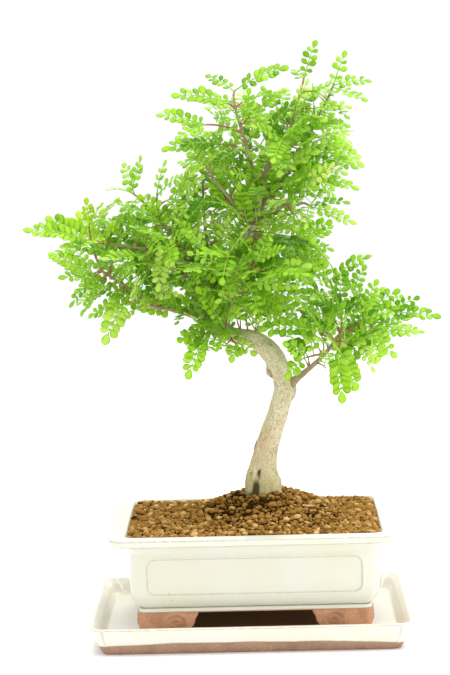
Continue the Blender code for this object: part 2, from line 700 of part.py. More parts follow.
def build_branches(obstacles):
    lines = {"trunk": TRUNK_LINE}
    for name, points in BRANCHES:
        lines[name] = branch_line(points)
        skin = wood_skin(lines[name], BRANCH_SIDES, BRANCH_GIRTH, lobed=False)
        place(name, skin.mesh(name, MM), tree_foot(), TWIG, BARK_ROUGHNESS)
        obstacles[name] = [(skin.tree(), box_of(skin.points))]
    return lines


def box_of(points):
    low = Vector(min(point[i] for point in points) for i in range(3))
    high = Vector(max(point[i] for point in points) for i in range(3))
    return low, high


def hits(skin, obstacles, skip=()):
    """Whether a surface meets any wood, twig or leaf that is in place."""
    tree = skin.tree()
    low, high = box_of(skin.points)
    for name, shapes in obstacles.items():
        if name in skip:
            continue
        for other, (other_low, other_high) in shapes:
            apart = any(low[i] > other_high[i] or other_low[i] > high[i] for i in range(3))
            if not apart and tree.overlap(other):
                return True
    return False


def crosses_itself(skin):
    """Whether two faces with no corner in common meet."""
    tree = skin.tree()
    for first, second in tree.overlap(tree):
        if first < second and not set(skin.faces[first]) & set(skin.faces[second]):
            return True
    return False


def leaflet(skin, root, base, outward, forward, length, width):
    """One rounded leaflet on an open side of the rachis, as a thin wedge of two fans."""
    back_low, front_low, front_high, back_high = root
    outline = skin.ring([
        base + outward * 0.48 * length - forward * width / 2,
        base + outward * 0.95 * length - forward * width * 0.27,
        base + outward * 0.95 * length + forward * width * 0.27,
        base + outward * 0.48 * length + forward * width / 2,
    ])
    back, back_tip, front_tip, front = outline
    for fan in ((back_high, (front_high, front, front_tip, back_tip, back)),
                (front_low, (back_low, back, back_tip, front_tip, front))):
        for first, second in zip(fan[1], fan[1][1:]):
            skin.faces.append((fan[0], first, second))
    skin.faces.append((back_low, back_high, back))
    skin.faces.append((front_low, front_high, front))


def leaf_pairs(length):
    return 5 if length >= 33 else 4 if length >= 24 else 3


def grow_leaf(skin, root, base, tip, normal, swell=0.0):
    """One pinnate leaf from base to tip; root is the open face that it grows out of, if any."""
    span = tip - base
    length = span.length
    pairs = leaf_pairs(length)
    sag = Vector((0, 0, 0.10 * length))
    stalk = 0.16 * length
    size = LEAFLET_LENGTH * min(1.15, max(0.75, length / 34))
    reach = length - stalk - size * 0.9 - LAST_STEP
    spacing = (reach - 1.5) / (pairs - 1)
    broad = min(LEAFLET_WIDTH * size / LEAFLET_LENGTH, spacing - LEAFLET_APART)
    stations = []
    for i in range(pairs):
        middle = stalk + 1.5 + spacing * i
        stations += [(middle - 0.6, True), (middle + 0.6, False)]
    bend = base + span / 2 + sag

    def spot(distance):
        t = distance / length
        return (1 - t) ** 2 * base + 2 * t * (1 - t) * bend + t ** 2 * tip

    last = root
    last_back = None
    width = RACHIS_WIDTH / 2 + swell
    thick = RACHIS_THICK / 2 + swell
    for distance, opens in stations:
        here = spot(distance)
        forward = (spot(distance + 0.5) - spot(distance - 0.5)).normalized()
        side = forward.cross(normal).normalized()
        upper = side.cross(forward)
        ring = skin.ring([
            here - width * side - thick * upper, here + width * side - thick * upper,
            here + width * side + thick * upper, here - width * side + thick * upper,
        ])
        if opens:
            if last is not None:
                skin.bridge(nearest_turn(skin, last, ring), ring)
            else:
                skin.cap(ring)
            last_back = ring
        else:
            back = last_back
            skin.bridge(back, ring, leave_open=(1, 3))
            taper = 0.8 + 0.2 * math.sin(math.pi * distance / length)
            for sign, corners in ((1, (1, 2)), (-1, (0, 3))):
                low, high = corners
                outward = (sign * side * 0.88 + forward * 0.46 + upper * 0.12).normalized()
                along = (forward - forward.dot(outward) * outward).normalized()
                middle = here - 0.6 * forward + sign * width * side
                leaflet(skin, (back[low], ring[low], ring[high], back[high]), middle, outward, along,
                        size * taper + swell, broad * taper + 2 * swell)
        last = ring
    step = skin.ring([skin.points[corner] + LAST_STEP * forward for corner in last])
    skin.bridge(last, step)
    leaflet(skin, step, here + LAST_STEP * forward, forward, side, size * 0.95 + swell,
            broad * 0.95 + 2 * swell)


def nearest_turn(skin, loop, ring):
    """The loop's four corners, turned and mirrored to face the ring's corners."""
    choices = []
    for order in (loop, loop[::-1]):
        for k in range(4):
            turned = order[k:] + order[:k]
            total = sum((skin.points[a] - skin.points[b]).length for a, b in zip(turned, ring))
            choices.append((total, k, turned))
    return min(choices)[2]


def leaf_turns():
    """Small changes of aim to try, nearest first, with the roll of the leaf."""
    yield 0.0, 0.0, 0.0
    for reach in (0.0, 12.0, 24.0, 36.0, 50.0):
        for turn in ((0.0,) if reach == 0.0 else (0.0, 60.0, 120.0, 180.0, 240.0, 300.0)):
            for roll in (0.0, 30.0, -30.0, 60.0):
                yield reach, turn, roll


def leaf_aims(base, tip):
    """Tips and leaf normals to try for one leaf."""
    span = tip - base
    side = span.orthogonal().normalized()
    outward = -0.6 if base.y < 25 else 0.5
    flat = Vector((0, outward, 0.8))
    if abs(span.normalized().z) > 0.8:
        flat = Vector((0, math.copysign(1, outward), 0.3))
    for reach, turn, roll in leaf_turns():
        spin = Matrix.Rotation(math.radians(turn), 3, span) @ side
        aimed = Matrix.Rotation(math.radians(reach), 3, spin) @ span
        normal = Matrix.Rotation(math.radians(roll), 3, aimed) @ flat
        yield base + aimed, normal


class Spray:
    """A twig with a few pinnate leaves, grown as one piece."""

    def __init__(self, name, parent, share, end, tips, lines):
        self.name = name
        self.parent = parent
        self.tips = [Vector(tip) for tip in tips]
        girth = TRUNK_GIRTH if parent == "trunk" else BRANCH_GIRTH
        centre, forward, radius = at_share(lines[parent], share)
        end = Vector(end)
        if share == 1:
            heading = forward
            start = centre + (GAP / MM) * forward
        else:
            thick = max(radius, at_share(lines[parent], max(0.0, share - 0.08))[2])
            start, heading = clear_start(centre, forward, thick * girth, end, TWIG_RADIUS)
        self.start = start
        self.heading = heading
        self.end = end
        self.leaves = []

    def spot(self, t, bow):
        bend = self.start + self.heading * 0.45 * (self.end - self.start).length + bow
        return (1 - t) ** 2 * self.start + 2 * t * (1 - t) * bend + t ** 2 * self.end

    def stations(self):
        """Distances along the twig: its ends, and the two sides of each leaf's socket."""
        length = (self.end - self.start).length
        sockets = []
        for i in range(len(self.tips) - 1):
            middle = length - 2.2 - 2.6 * i
            sockets.append(max(middle, 2.0 + 1.6 * (len(self.tips) - 2 - i)))
        return length, sockets

    def grow(self, bow, leaves=None):
        """The twig, with each given leaf grown from its socket."""
        skin = Skin()
        length, sockets = self.stations()
        marks = [0.0]
        opening = {}
        for i, middle in sorted(enumerate(sockets), key=lambda item: item[1]):
            marks += [middle - SOCKET / 2, middle + SOCKET / 2]
            opening[len(marks) - 1] = i + 1
        marks.append(max(length, marks[-1] + 0.5))
        line = [(*self.spot(mark / length, bow), 0) for mark in marks]
        spine = frames(line)
        spine[0] = (spine[0][0], self.heading, spine[0][2], spine[0][3])
        last = None
        bases = {}
        for k, (centre, forward, _, _) in enumerate(spine):
            side = forward.cross(Vector((0.31, -0.2, 0.93))).normalized()
            upper = side.cross(forward)
            swell = 1.375 if k == 0 else 1.1 - 0.3 * k / (len(spine) - 1)
            radius = TWIG_RADIUS * swell * BRANCH_GIRTH
            ring = skin.ring([centre + radius * (math.cos(a) * side + math.sin(a) * upper)
                              for a in (math.pi / 4 + math.pi / 2 * j for j in range(4))])
            if last is None:
                skin.cap(ring)
            elif k in opening:
                number = opening[k]
                middle = sum((skin.points[i] for i in last + ring), Vector()) / 8
                aim = (self.tips[number] - middle).normalized()
                reach = [aim.dot((skin.points[ring[j]] + skin.points[ring[(j + 1) % 4]]) / 2 - centre)
                         for j in range(4)]
                j = reach.index(max(reach))
                grown = leaves is not None and number in leaves
                skin.bridge(last, ring, leave_open=(j,) if grown else ())
                loop = [last[j], last[(j + 1) % 4], ring[(j + 1) % 4], ring[j]]
                base = sum((skin.points[i] for i in loop), Vector()) / 4
                bases[number] = (base, loop, (base - middle).normalized())
            else:
                skin.bridge(last, ring)
            last = ring
        bases[0] = (sum((skin.points[i] for i in last), Vector()) / 4, last, spine[-1][1])
        if leaves is None or 0 not in leaves:
            skin.cap(last)
        for number, (tip, normal) in sorted((leaves or {}).items()):
            base, loop, outward = bases[number]
            neck = skin.ring([base + 0.85 * (skin.points[i] - base) + NECK * outward for i in loop])
            skin.bridge(loop, neck)
            grow_leaf(skin, neck, base, tip, normal)
        return skin, bases

    def settle_twig(self, obstacles):
        """Bows the twig clear of what is in place."""
        bows = [Vector((0, 0, 0))]
        for size in (4, 8, 12, 16):
            for way in ((0, 0, 1), (0, -1, 0), (1, 0, 0), (-1, 0, 0), (0, 1, 0), (0, 0, -1)):
                bows.append(size * Vector(way))
        self.bow = bows[0]
        for bow in bows:
            skin, _ = self.grow(bow)
            if not hits(skin, obstacles):
                self.bow = bow
                break
        skin, self.bases = self.grow(self.bow)
        obstacles[self.name] = [(skin.tree(), box_of(skin.points))]

    def settle_leaf(self, number, obstacles):
        """Aims one leaf so that it clears everything, or leaves it out."""
        base = self.bases[number][0]
        for tip, normal in leaf_aims(base, self.tips[number]):
            guard = Skin()
            grow_leaf(guard, None, base, tip, normal, LEAF_CLEARANCE)
            if hits(guard, obstacles):
                continue
            grown, _ = self.grow(self.bow, dict([*self.leaves, (number, (tip, normal))]))
            if not crosses_itself(grown):
                bare = Skin()
                grow_leaf(bare, None, base, tip, normal)
                obstacles[self.name].append((bare.tree(), box_of(bare.points)))
                self.leaves.append((number, (tip, normal)))
                return

    def build(self, foot_place):
        skin, _ = self.grow(self.bow, dict(self.leaves))
        colour = YOUNG_LEAF if self.name == "left_young" else LEAF
        mesh = skin.mesh(self.name, MM)
        place(self.name + "_spray", mesh, foot_place, colour, LEAF_ROUGHNESS, smooth=False)


def build_tree():
    obstacles = {}
    trunk = build_trunk()
    obstacles["trunk"] = [(trunk.tree(), box_of(trunk.points))]
    lines = build_branches(obstacles)
    sprays = [Spray(*row, lines) for row in SPRAYS]
    for spray in sprays:
        spray.settle_twig(obstacles)
    for number in range(3):
        for spray in sprays:
            if number < len(spray.tips):
                spray.settle_leaf(number, obstacles)
    for spray in sprays:
        spray.build(tree_foot())


def main():
    for thing in list(bpy.data.objects):
        bpy.data.objects.remove(thing)
    build_tray()
    build_pot()
    build_screen("drain_screen_left", -DRAIN_SPACING / 2)
    build_screen("drain_screen_right", DRAIN_SPACING / 2)
    build_soil()
    build_tree()


main()
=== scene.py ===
"""The finished look of a bonsai tree in its glazed pot and drip tray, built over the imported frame.

Lengths inside the classes are in millimetres; meshes are written in metres.
"""

import sys
import logging
import math
import random
from dataclasses import dataclass, field
from enum import Enum
from typing import Callable, Iterable, Optional, Sequence

import bmesh
import bpy
import numpy as np
from mathutils import Matrix, Vector, noise
from mathutils.bvhtree import BVHTree


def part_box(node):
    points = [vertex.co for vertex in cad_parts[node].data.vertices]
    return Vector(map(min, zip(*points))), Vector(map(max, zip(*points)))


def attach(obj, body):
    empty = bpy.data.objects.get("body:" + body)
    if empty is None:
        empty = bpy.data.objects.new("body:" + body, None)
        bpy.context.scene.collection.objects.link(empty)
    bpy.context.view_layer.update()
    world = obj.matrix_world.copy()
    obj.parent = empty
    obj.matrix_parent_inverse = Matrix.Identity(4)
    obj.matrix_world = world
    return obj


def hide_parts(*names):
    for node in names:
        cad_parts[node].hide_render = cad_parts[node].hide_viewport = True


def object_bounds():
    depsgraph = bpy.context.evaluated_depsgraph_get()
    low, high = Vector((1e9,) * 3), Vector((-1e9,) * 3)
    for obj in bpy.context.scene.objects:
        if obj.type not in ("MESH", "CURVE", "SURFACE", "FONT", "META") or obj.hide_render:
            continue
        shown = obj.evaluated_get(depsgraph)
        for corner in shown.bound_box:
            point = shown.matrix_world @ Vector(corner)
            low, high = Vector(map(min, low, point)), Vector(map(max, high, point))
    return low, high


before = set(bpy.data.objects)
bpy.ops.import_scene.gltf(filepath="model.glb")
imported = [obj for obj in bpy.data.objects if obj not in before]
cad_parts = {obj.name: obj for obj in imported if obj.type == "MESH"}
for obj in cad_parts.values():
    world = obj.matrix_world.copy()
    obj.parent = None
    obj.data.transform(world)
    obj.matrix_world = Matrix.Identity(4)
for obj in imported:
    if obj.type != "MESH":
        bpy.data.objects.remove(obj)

LOG = logging.getLogger("bonsai")
CAD_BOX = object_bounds()
MM = 0.001

# The names of the meshes' own values, and the height marked where the glaze covers everything
MARK = "mark"
TINT = "tint"
GLAZED = 9.0

# Points round a profile's corner, the pot's curved base, the soil's slopes and its granules' cells
CORNER_STEP = 0.35
TUCK_STEPS = 8
STEEP = 0.3
CELL = 6

# The rings along branches and twigs, the turn from leaf to leaf, and how far leaves may pass the frame
RING_STEP = 1.6
TWIG_STEP = 1.8
LEAF_TURN = 2.4
ROOM = 0.006

Row = tuple[float, ...]
Colour = tuple[float, float, float]
Array = np.ndarray
Socket = bpy.types.NodeSocket
Material = bpy.types.Material


class Slot(Enum):
    """The record's material slots."""

    POT = "pot_glaze"
    TRAY = "tray_glaze"
    SOIL = "soil"
    BARK = "bark"
    BRANCH = "branch_bark"
    LEAF = "leaf"
    YOUNG = "young_leaf"


class Age(Enum):
    """How old a piece of wood is, which sets its bark."""

    OLD = 0
    GROWN = 1
    GREEN = 2


def shade(red: int, green: int, blue: int) -> Colour:
    """The linear colour of a display colour.

    Args:
        red: Red, 0 to 255.
        green: Green, 0 to 255.
        blue: Blue, 0 to 255.

    Returns:
        The three linear parts, 0 to 1.
    """
    parts = []
    for part in (red, green, blue):
        share = part / 255
        parts.append(share / 12.92 if share <= 0.04045 else ((share + 0.055) / 1.055) ** 2.4)
    return parts[0], parts[1], parts[2]


def eased(rows: Sequence[Row], step: float) -> Array:
    """Rows resampled along a smooth line through them.

    Args:
        rows: Rows that start with x, y and z; any further numbers are eased too.
        step: The distance between the new rows.

    Returns:
        The new rows, one per line.
    """
    given = np.array(rows, float)
    chords = np.linalg.norm(np.diff(given[:, :3], axis=0), axis=1)
    along = np.concatenate(([0.0], np.cumsum(chords)))
    slopes = np.gradient(given, along, axis=0)
    count = max(2, int(round(along[-1] / step)) + 1)
    marks = np.linspace(0.0, along[-1], count)
    index = np.clip(np.searchsorted(along, marks, side="right") - 1, 0, len(given) - 2)
    span = (along[index + 1] - along[index])[:, None]
    t = ((marks - along[index]) / span[:, 0])[:, None]
    near, far = given[index], given[index + 1]
    result = (
        (2 * t**3 - 3 * t**2 + 1) * near
        + (t**3 - 2 * t**2 + t) * span * slopes[index]
        + (3 * t**2 - 2 * t**3) * far
        + (t**3 - t**2) * span * slopes[index + 1]
    )
    return result


def carried_frames(line: Array) -> tuple[Array, Array, Array]:
    """Directions along a line that turn as little as possible.

    Args:
        line: Places, one per row.

    Returns:
        The forward, side and upper directions at each place.
    """
    forward = np.gradient(line[:, :3], axis=0)
    forward /= np.linalg.norm(forward, axis=1)[:, None]
    sides = np.zeros_like(forward)
    side = np.array([1.0, 0.0, 0.0])
    for i, way in enumerate(forward):
        side = side - side.dot(way) * way
        if np.linalg.norm(side) < 0.2:
            side = np.array(Vector(way).orthogonal())
        side /= np.linalg.norm(side)
        sides[i] = side
    return forward, sides, np.cross(forward, sides)


def unit(way: Sequence[float]) -> Array:
    """A direction of length one."""
    made = np.asarray(way, float)
    return made / max(float(np.linalg.norm(made)), 1e-9)


def curved(start: Array, bend: Array, end: Array, share: float) -> Array:
    """A place on a plain curve.

    Args:
        start: Where the curve starts.
        bend: The place that it bends towards.
        end: Where it ends.
        share: How far along, 0 to 1.

    Returns:
        The place.
    """
    return (1 - share) ** 2 * start + 2 * share * (1 - share) * bend + share**2 * end


def plan_of(node: str) -> tuple[float, float, Array]:
    """How a node of the frame lies in plan.

    Args:
        node: Its name.

    Returns:
        Half its length, half its width and the middle of its box at height 0, in millimetres.
    """
    low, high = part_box(node)
    middle = np.array([(high.x + low.x) / 2 / MM, (high.y + low.y) / 2 / MM, 0.0])
    return (high.x - low.x) / 2 / MM, (high.y - low.y) / 2 / MM, middle


def grid_faces(rows: int, columns: int, closed: bool = True) -> list[tuple[int, ...]]:
    """Quads over rows of points.

    Args:
        rows: How many rows.
        columns: How many points in each row.
        closed: Whether each row joins its own start.

    Returns:
        The faces, as point indices.
    """
    faces = []
    for i in range(rows - 1):
        for j in range(columns if closed else columns - 1):
            k = (j + 1) % columns
            faces.append((i * columns + j, i * columns + k, (i + 1) * columns + k, (i + 1) * columns + j))
    return faces


class Shape:
    """Closed shells in the making: points in millimetres, faces, and a mark at each point."""

    def __init__(self) -> None:
        """Starts with nothing in it."""
        self.points: list[Array] = []
        self.marks: list[Array] = []
        self.faces: list[tuple[int, ...]] = []
        self.finishes: list[int] = []
        self.count = 0

    def add(self, points: Array, faces: Iterable[Sequence[int]], marks: Array,
            finishes: Optional[Sequence[int]] = None) -> None:
        """Adds one shell.

        Args:
            points: Its points.
            faces: Its faces, counted from its own first point.
            marks: Three numbers for each point, and three more for its tint if the piece has one.
            finishes: Which of the piece's materials each face has; the first if not given.
        """
        start = self.count
        before = len(self.faces)
        self.points.append(np.asarray(points, float))
        given = np.asarray(marks, float)
        self.marks.append(np.broadcast_to(given, (len(points), given.shape[-1])))
        self.faces.extend(tuple(start + int(i) for i in face) for face in faces)
        self.finishes.extend(finishes if finishes is not None else [0] * (len(self.faces) - before))
        self.count += len(points)

    def loft(self, rings: Sequence[Array], marks: Sequence[Array]) -> None:
        """Adds a shell that runs through rings and has flat ends.

        Args:
            rings: The rings, from one end to the other.
            marks: Their marks.
        """
        count = len(rings[0])
        last = (len(rings) - 1) * count
        faces = grid_faces(len(rings), count)
        faces.append(tuple(range(count)))
        faces.append(tuple(last + j for j in range(count - 1, -1, -1)))
        self.add(np.vstack(rings), faces, np.vstack(marks))

    def tube(self, line: Array, reach: Array, marks: Array, finish: int = 0) -> None:
        """Adds a limb with closed ends.

        Args:
            line: Its centre line.
            reach: The radius at each row and side.
            marks: Three numbers for each row and side.
            finish: Which of the piece's materials it has.
        """
        forward, side, upper = carried_frames(line)
        rows, sides = reach.shape
        turns = np.arange(sides) * 2 * math.pi / sides
        ring = (np.cos(turns)[None, :, None] * side[:, None, :]
                + np.sin(turns)[None, :, None] * upper[:, None, :])
        points = (line[:, None, :3] + reach[:, :, None] * ring).reshape(-1, 3)
        near = line[0, :3] - forward[0] * reach[0].mean() * 0.45
        far = line[-1, :3] + forward[-1] * reach[-1].mean() * 0.6
        faces = grid_faces(rows, sides)
        last = (rows - 1) * sides
        for j in range(sides):
            k = (j + 1) % sides
            faces.append((j, rows * sides, k))
            faces.append((last + j, last + k, rows * sides + 1))
        flat = marks.reshape(-1, marks.shape[-1])
        self.add(np.vstack([points, near, far]), faces, np.vstack([flat, flat[0], flat[-1]]),
                 [finish] * len(faces))

    def piece(self, name: str, materials: Sequence[Material], slot: Slot,
              replaces: Sequence[str] = ()) -> bpy.types.Object:
        """The finished piece, riding on the frame.

        Args:
            name: The piece's name.
            materials: Its materials, in the order that the faces use.
            slot: The record's slot that it belongs to; not used.
            replaces: The frame's nodes that it stands for.

        Returns:
            The object.
        """
        mesh = bpy.data.meshes.new(name)
        mesh.from_pydata((np.vstack(self.points) * MM).tolist(), [], self.faces)
        marks = np.vstack(self.marks)
        for layer_name, first in ((MARK, 0), (TINT, 3)):
            if marks.shape[1] > first:
                layer = mesh.attributes.new(layer_name, "FLOAT_VECTOR", "POINT")
                layer.data.foreach_set("vector", np.ascontiguousarray(marks[:, first:first + 3]).ravel())
        for material in materials:
            mesh.materials.append(material)
        mesh.polygons.foreach_set("material_index", self.finishes)
        work = bmesh.new()
        work.from_mesh(mesh)
        bmesh.ops.recalc_face_normals(work, faces=work.faces)
        work.to_mesh(mesh)
        work.free()
        mesh.polygons.foreach_set("use_smooth", [True] * len(mesh.polygons))
        made = bpy.data.objects.new(name, mesh)
        bpy.context.scene.collection.objects.link(made)
        settle(made, replaces)
        return made


def settle(piece: bpy.types.Object, replaces: Sequence[str] = ()) -> None:
    """Fixes a piece to the frame.

    Args:
        piece: The object.
        replaces: The frame's nodes that it stands for.
    """
    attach(piece, "root")
    if replaces:
        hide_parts(*replaces)
    LOG.info("%s: %d faces", piece.name, len(piece.data.polygons))


class NodeGraph:
    """Short ways to lay out one material's nodes."""

    def __init__(self, name: str) -> None:
        """Starts an empty material.

        Args:
            name: The material's name.
        """
        self.material = bpy.data.materials.new(name)
        self.material.use_nodes = True
        self.tree = self.material.node_tree
        self.tree.nodes.clear()
        self.out = self.tree.nodes.new("ShaderNodeOutputMaterial")
        self.place = self.tree.nodes.new("ShaderNodeTexCoord").outputs["Object"]

    def put(self, socket: Socket, value: object) -> None:
        """Links a socket to another, or sets it.

        Args:
            socket: The input socket.
            value: An output socket, a colour or a number.
        """
        if isinstance(value, Socket):
            self.tree.links.new(value, socket)
        elif isinstance(value, tuple) and len(value) == 3 and socket.type == "RGBA":
            socket.default_value = (*value, 1.0)
        else:
            socket.default_value = value

    def marks(self, name: str = MARK) -> tuple[Socket, ...]:
        """The three numbers that the mesh carries at each point, and then all three as one vector.

        Args:
            name: Which set of three.

        Returns:
            The three values and the vector.
        """
        read = self.tree.nodes.new("ShaderNodeAttribute")
        read.attribute_name = name
        split = self.tree.nodes.new("ShaderNodeSeparateXYZ")
        self.put(split.inputs[0], read.outputs["Vector"])
        return split.outputs[0], split.outputs[1], split.outputs[2], read.outputs["Vector"]

    def noise(self, vector: Socket, scale: float, detail: float = 3.0, rough: float = 0.55) -> Socket:
        """Soft random value, 0 to 1.

        Args:
            vector: Where to read it.
            scale: How fine it is.
            detail: How many finer layers it has.
            rough: How strong the finer layers are.

        Returns:
            The value.
        """
        made = self.tree.nodes.new("ShaderNodeTexNoise")
        self.put(made.inputs["Vector"], vector)
        made.inputs["Scale"].default_value = scale
        made.inputs["Detail"].default_value = detail
        made.inputs["Roughness"].default_value = rough
        return made.outputs["Fac"]

    def cells(self, vector: Socket, scale: float) -> Socket:
        """Cell pattern.

        Args:
            vector: Where to read it.
            scale: How fine it is.

        Returns:
            The distance to the nearest cell's middle.
        """
        made = self.tree.nodes.new("ShaderNodeTexVoronoi")
        self.put(made.inputs["Vector"], vector)
        made.inputs["Scale"].default_value = scale
        return made.outputs["Distance"]

    def ramp(self, value: Socket, stops: Sequence[tuple[float, Colour]]) -> Socket:
        """A value turned into colours.

        Args:
            value: From 0 to 1.
            stops: Places and their colours, in order.

        Returns:
            The colour.
        """
        made = self.tree.nodes.new("ShaderNodeValToRGB")
        row = made.color_ramp.elements
        while len(row) < len(stops):
            row.new(0.5)
        for element, (place, colour) in zip(row, stops):
            element.position = place
            element.color = (*colour, 1.0)
        self.put(made.inputs[0], value)
        return made.outputs[0]

    def step(self, value: Socket, low: float, high: float, start: float = 0.0, end: float = 1.0) -> Socket:
        """A smooth rise between two values.

        Args:
            value: The value read.
            low: Where the rise starts.
            high: Where it ends.
            start: The result below low.
            end: The result above high.

        Returns:
            The result.
        """
        made = self.tree.nodes.new("ShaderNodeMapRange")
        made.interpolation_type = "SMOOTHSTEP"
        self.put(made.inputs["Value"], value)
        made.inputs["From Min"].default_value = low
        made.inputs["From Max"].default_value = high
        made.inputs["To Min"].default_value = start
        made.inputs["To Max"].default_value = end
        return made.outputs["Result"]

    def mix(self, share: object, first: object, second: object) -> Socket:
        """Two colours mixed.

        Args:
            share: How much of the second.
            first: The first colour.
            second: The second colour.

        Returns:
            The colour.
        """
        made = self.tree.nodes.new("ShaderNodeMix")
        made.data_type = "RGBA"
        self.put(made.inputs[0], share)
        self.put(made.inputs[6], first)
        self.put(made.inputs[7], second)
        return made.outputs[2]

    def maths(self, kind: str, first: object, second: object = 0.5) -> Socket:
        """Arithmetic.

        Args:
            kind: The operation.
            first: The first value.
            second: The second value.

        Returns:
            The result.
        """
        made = self.tree.nodes.new("ShaderNodeMath")
        made.operation = kind
        self.put(made.inputs[0], first)
        self.put(made.inputs[1], second)
        return made.outputs[0]

    def scaled(self, vector: Socket, by: tuple[float, float, float]) -> Socket:
        """A vector scaled part by part.

        Args:
            vector: The vector.
            by: The factor of each part.

        Returns:
            The scaled vector.
        """
        made = self.tree.nodes.new("ShaderNodeVectorMath")
        made.operation = "MULTIPLY"
        self.put(made.inputs[0], vector)
        made.inputs[1].default_value = by
        return made.outputs[0]

    def bump(self, height: Socket, depth: float, strength: float = 1.0) -> Socket:
        """Relief from a height.

        Args:
            height: From 0 to 1.
            depth: What one stands for, in millimetres.
            strength: How much of the relief shows.

        Returns:
            The normal.
        """
        made = self.tree.nodes.new("ShaderNodeBump")
        made.inputs["Strength"].default_value = strength
        made.inputs["Distance"].default_value = depth * MM
        self.put(made.inputs["Height"], height)
        return made.outputs["Normal"]

    def surface(self, colour: object, roughness: object, normal: Optional[Socket] = None,
                **settings: float) -> bpy.types.ShaderNodeBsdfPrincipled:
        """The main shader.

        Args:
            colour: Its colour.
            roughness: Its roughness.
            normal: Its relief, if any.
            **settings: Further sockets by name, with underscores for spaces.

        Returns:
            The shader's node, linked to the output.
        """
        made = self.tree.nodes.new("ShaderNodeBsdfPrincipled")
        self.put(made.inputs["Base Color"], colour)
        self.put(made.inputs["Roughness"], roughness)
        if normal is not None:
            self.put(made.inputs["Normal"], normal)
        for name, value in settings.items():
            made.inputs[name.replace("_", " ")].default_value = value
        self.tree.links.new(made.outputs[0], self.out.inputs["Surface"])
        return made


@dataclass(frozen=True)
class Glaze:
    """Cream glaze over brown clay; the mesh marks the height above the glaze's edge, and how thin it lies.

    Attributes:
        name: The material's name.
        cream: The glaze where it lies thick.
        thin: The glaze where it runs thin over an edge.
        clay: The bare clay.
        wander: How far the glaze's edge wanders, in millimetres.
    """

    name: str
    cream: Colour
    thin: Colour
    clay: Colour
    wander: float = 0.6

    def dress(self) -> Material:
        """Lays out the material.

        Returns:
            The material.
        """
        graph = NodeGraph(self.name)
        rise, edge, under_pot_shade_mark, _ = graph.marks()
        wander = graph.noise(graph.place, 70, 2.0)
        fine = graph.noise(graph.place, 900, 3.0)
        line = graph.maths("ADD", rise, graph.maths("MULTIPLY", wander, self.wander))
        line = graph.maths("SUBTRACT", line, self.wander / 2)
        glazed = graph.step(line, 0.0, 0.35)
        broad = graph.noise(graph.place, 28, 2.0)
        creamier = (self.cream[0] * 0.98, self.cream[1] * 0.97, self.cream[2] * 0.90)
        pooled = graph.mix(graph.step(broad, 0.35, 0.7), self.cream, creamier)
        patches = graph.step(graph.noise(graph.place, 240, 3.0), 0.25, 0.75, 0.35, 1.0)
        worn = graph.maths("MULTIPLY", edge, patches)
        rim = graph.maths("MULTIPLY", graph.step(line, 0.1, 0.9, 1.0, 0.0), 0.75)
        thinned = graph.mix(graph.maths("MAXIMUM", worn, rim), pooled, self.thin)
        specks = graph.step(graph.cells(graph.place, 95), 0.030, 0.050, 1.0, 0.0)
        chosen = graph.step(graph.noise(graph.place, 33, 1.0), 0.60, 0.64)
        spotted = graph.mix(graph.maths("MULTIPLY", specks, chosen), thinned, shade(120, 82, 48))
        grog = graph.ramp(fine, ((0.25, tuple(part * 0.72 for part in self.clay)), (0.55, self.clay),
                                 (0.8, tuple(min(1.0, part * 1.25) for part in self.clay))))
        smoked = graph.mix(graph.step(wander, 0.45, 0.7, 0.0, 0.35), grog, shade(126, 84, 60))
        colour = graph.mix(glazed, smoked, spotted)
        # Painted shade: the tray's floor under the pot is darkened towards brown and made matt.
        painted_shade_under_pot = graph.step(graph.maths("ADD", under_pot_shade_mark, graph.maths("MULTIPLY", fine, 0.3)), 0.35, 1.0, 0.0, 0.97)
        colour = graph.mix(painted_shade_under_pot, colour, shade(146, 118, 80))
        rough = graph.maths("MAXIMUM", graph.step(glazed, 0.0, 1.0, 0.82, 0.16), painted_shade_under_pot)
        gloss = graph.maths("SUBTRACT", 0.5, graph.maths("MULTIPLY", painted_shade_under_pot, 0.48))
        swell = graph.noise(graph.place, 60, 1.0)
        grain = graph.maths("MULTIPLY", graph.maths("SUBTRACT", 1.0, glazed), fine)
        height = graph.maths("ADD", graph.maths("MULTIPLY", swell, 0.35), grain)
        height = graph.maths("ADD", height, graph.maths("MULTIPLY", glazed, 0.5))
        made = graph.surface(colour, rough, graph.bump(height, 0.35, 0.7), IOR=1.5)
        graph.put(made.inputs["Specular IOR Level"], gloss)
        return graph.material


@dataclass(frozen=True)
class Earth:
    """Baked clay granules, each of its own tone.

    Attributes:
        name: The material's name.
        dark: The darkest granules, and the painted shade under and between them.
        middle: The common colour.
        pale: The palest granules.
    """

    name: str
    dark: Colour
    middle: Colour
    pale: Colour

    def dress(self) -> Material:
        """Lays out the material.

        Returns:
            The material.
        """
        graph = NodeGraph(self.name)
        tone, rise, _, _ = graph.marks()
        mottle = graph.noise(graph.place, 620, 4.0, 0.65)
        value = graph.maths("ADD", tone, graph.maths("MULTIPLY", mottle, 0.6))
        value = graph.maths("SUBTRACT", value, 0.3)
        # Lower points of each granule are darker: painted shade between the granules.
        value = graph.maths("SUBTRACT", value, graph.step(rise, 0.0, 1.0, 0.42, 0.0))
        colour = graph.ramp(value, ((0.05, self.dark), (0.40, self.middle),
                                    (0.66, self.middle), (0.95, self.pale)))
        grit = graph.noise(graph.place, 2600, 3.0, 0.7)
        relief = graph.bump(graph.maths("ADD", mottle, grit), 0.6)
        graph.surface(colour, 0.95, relief, IOR=1.3, Specular_IOR_Level=0.1)
        return graph.material


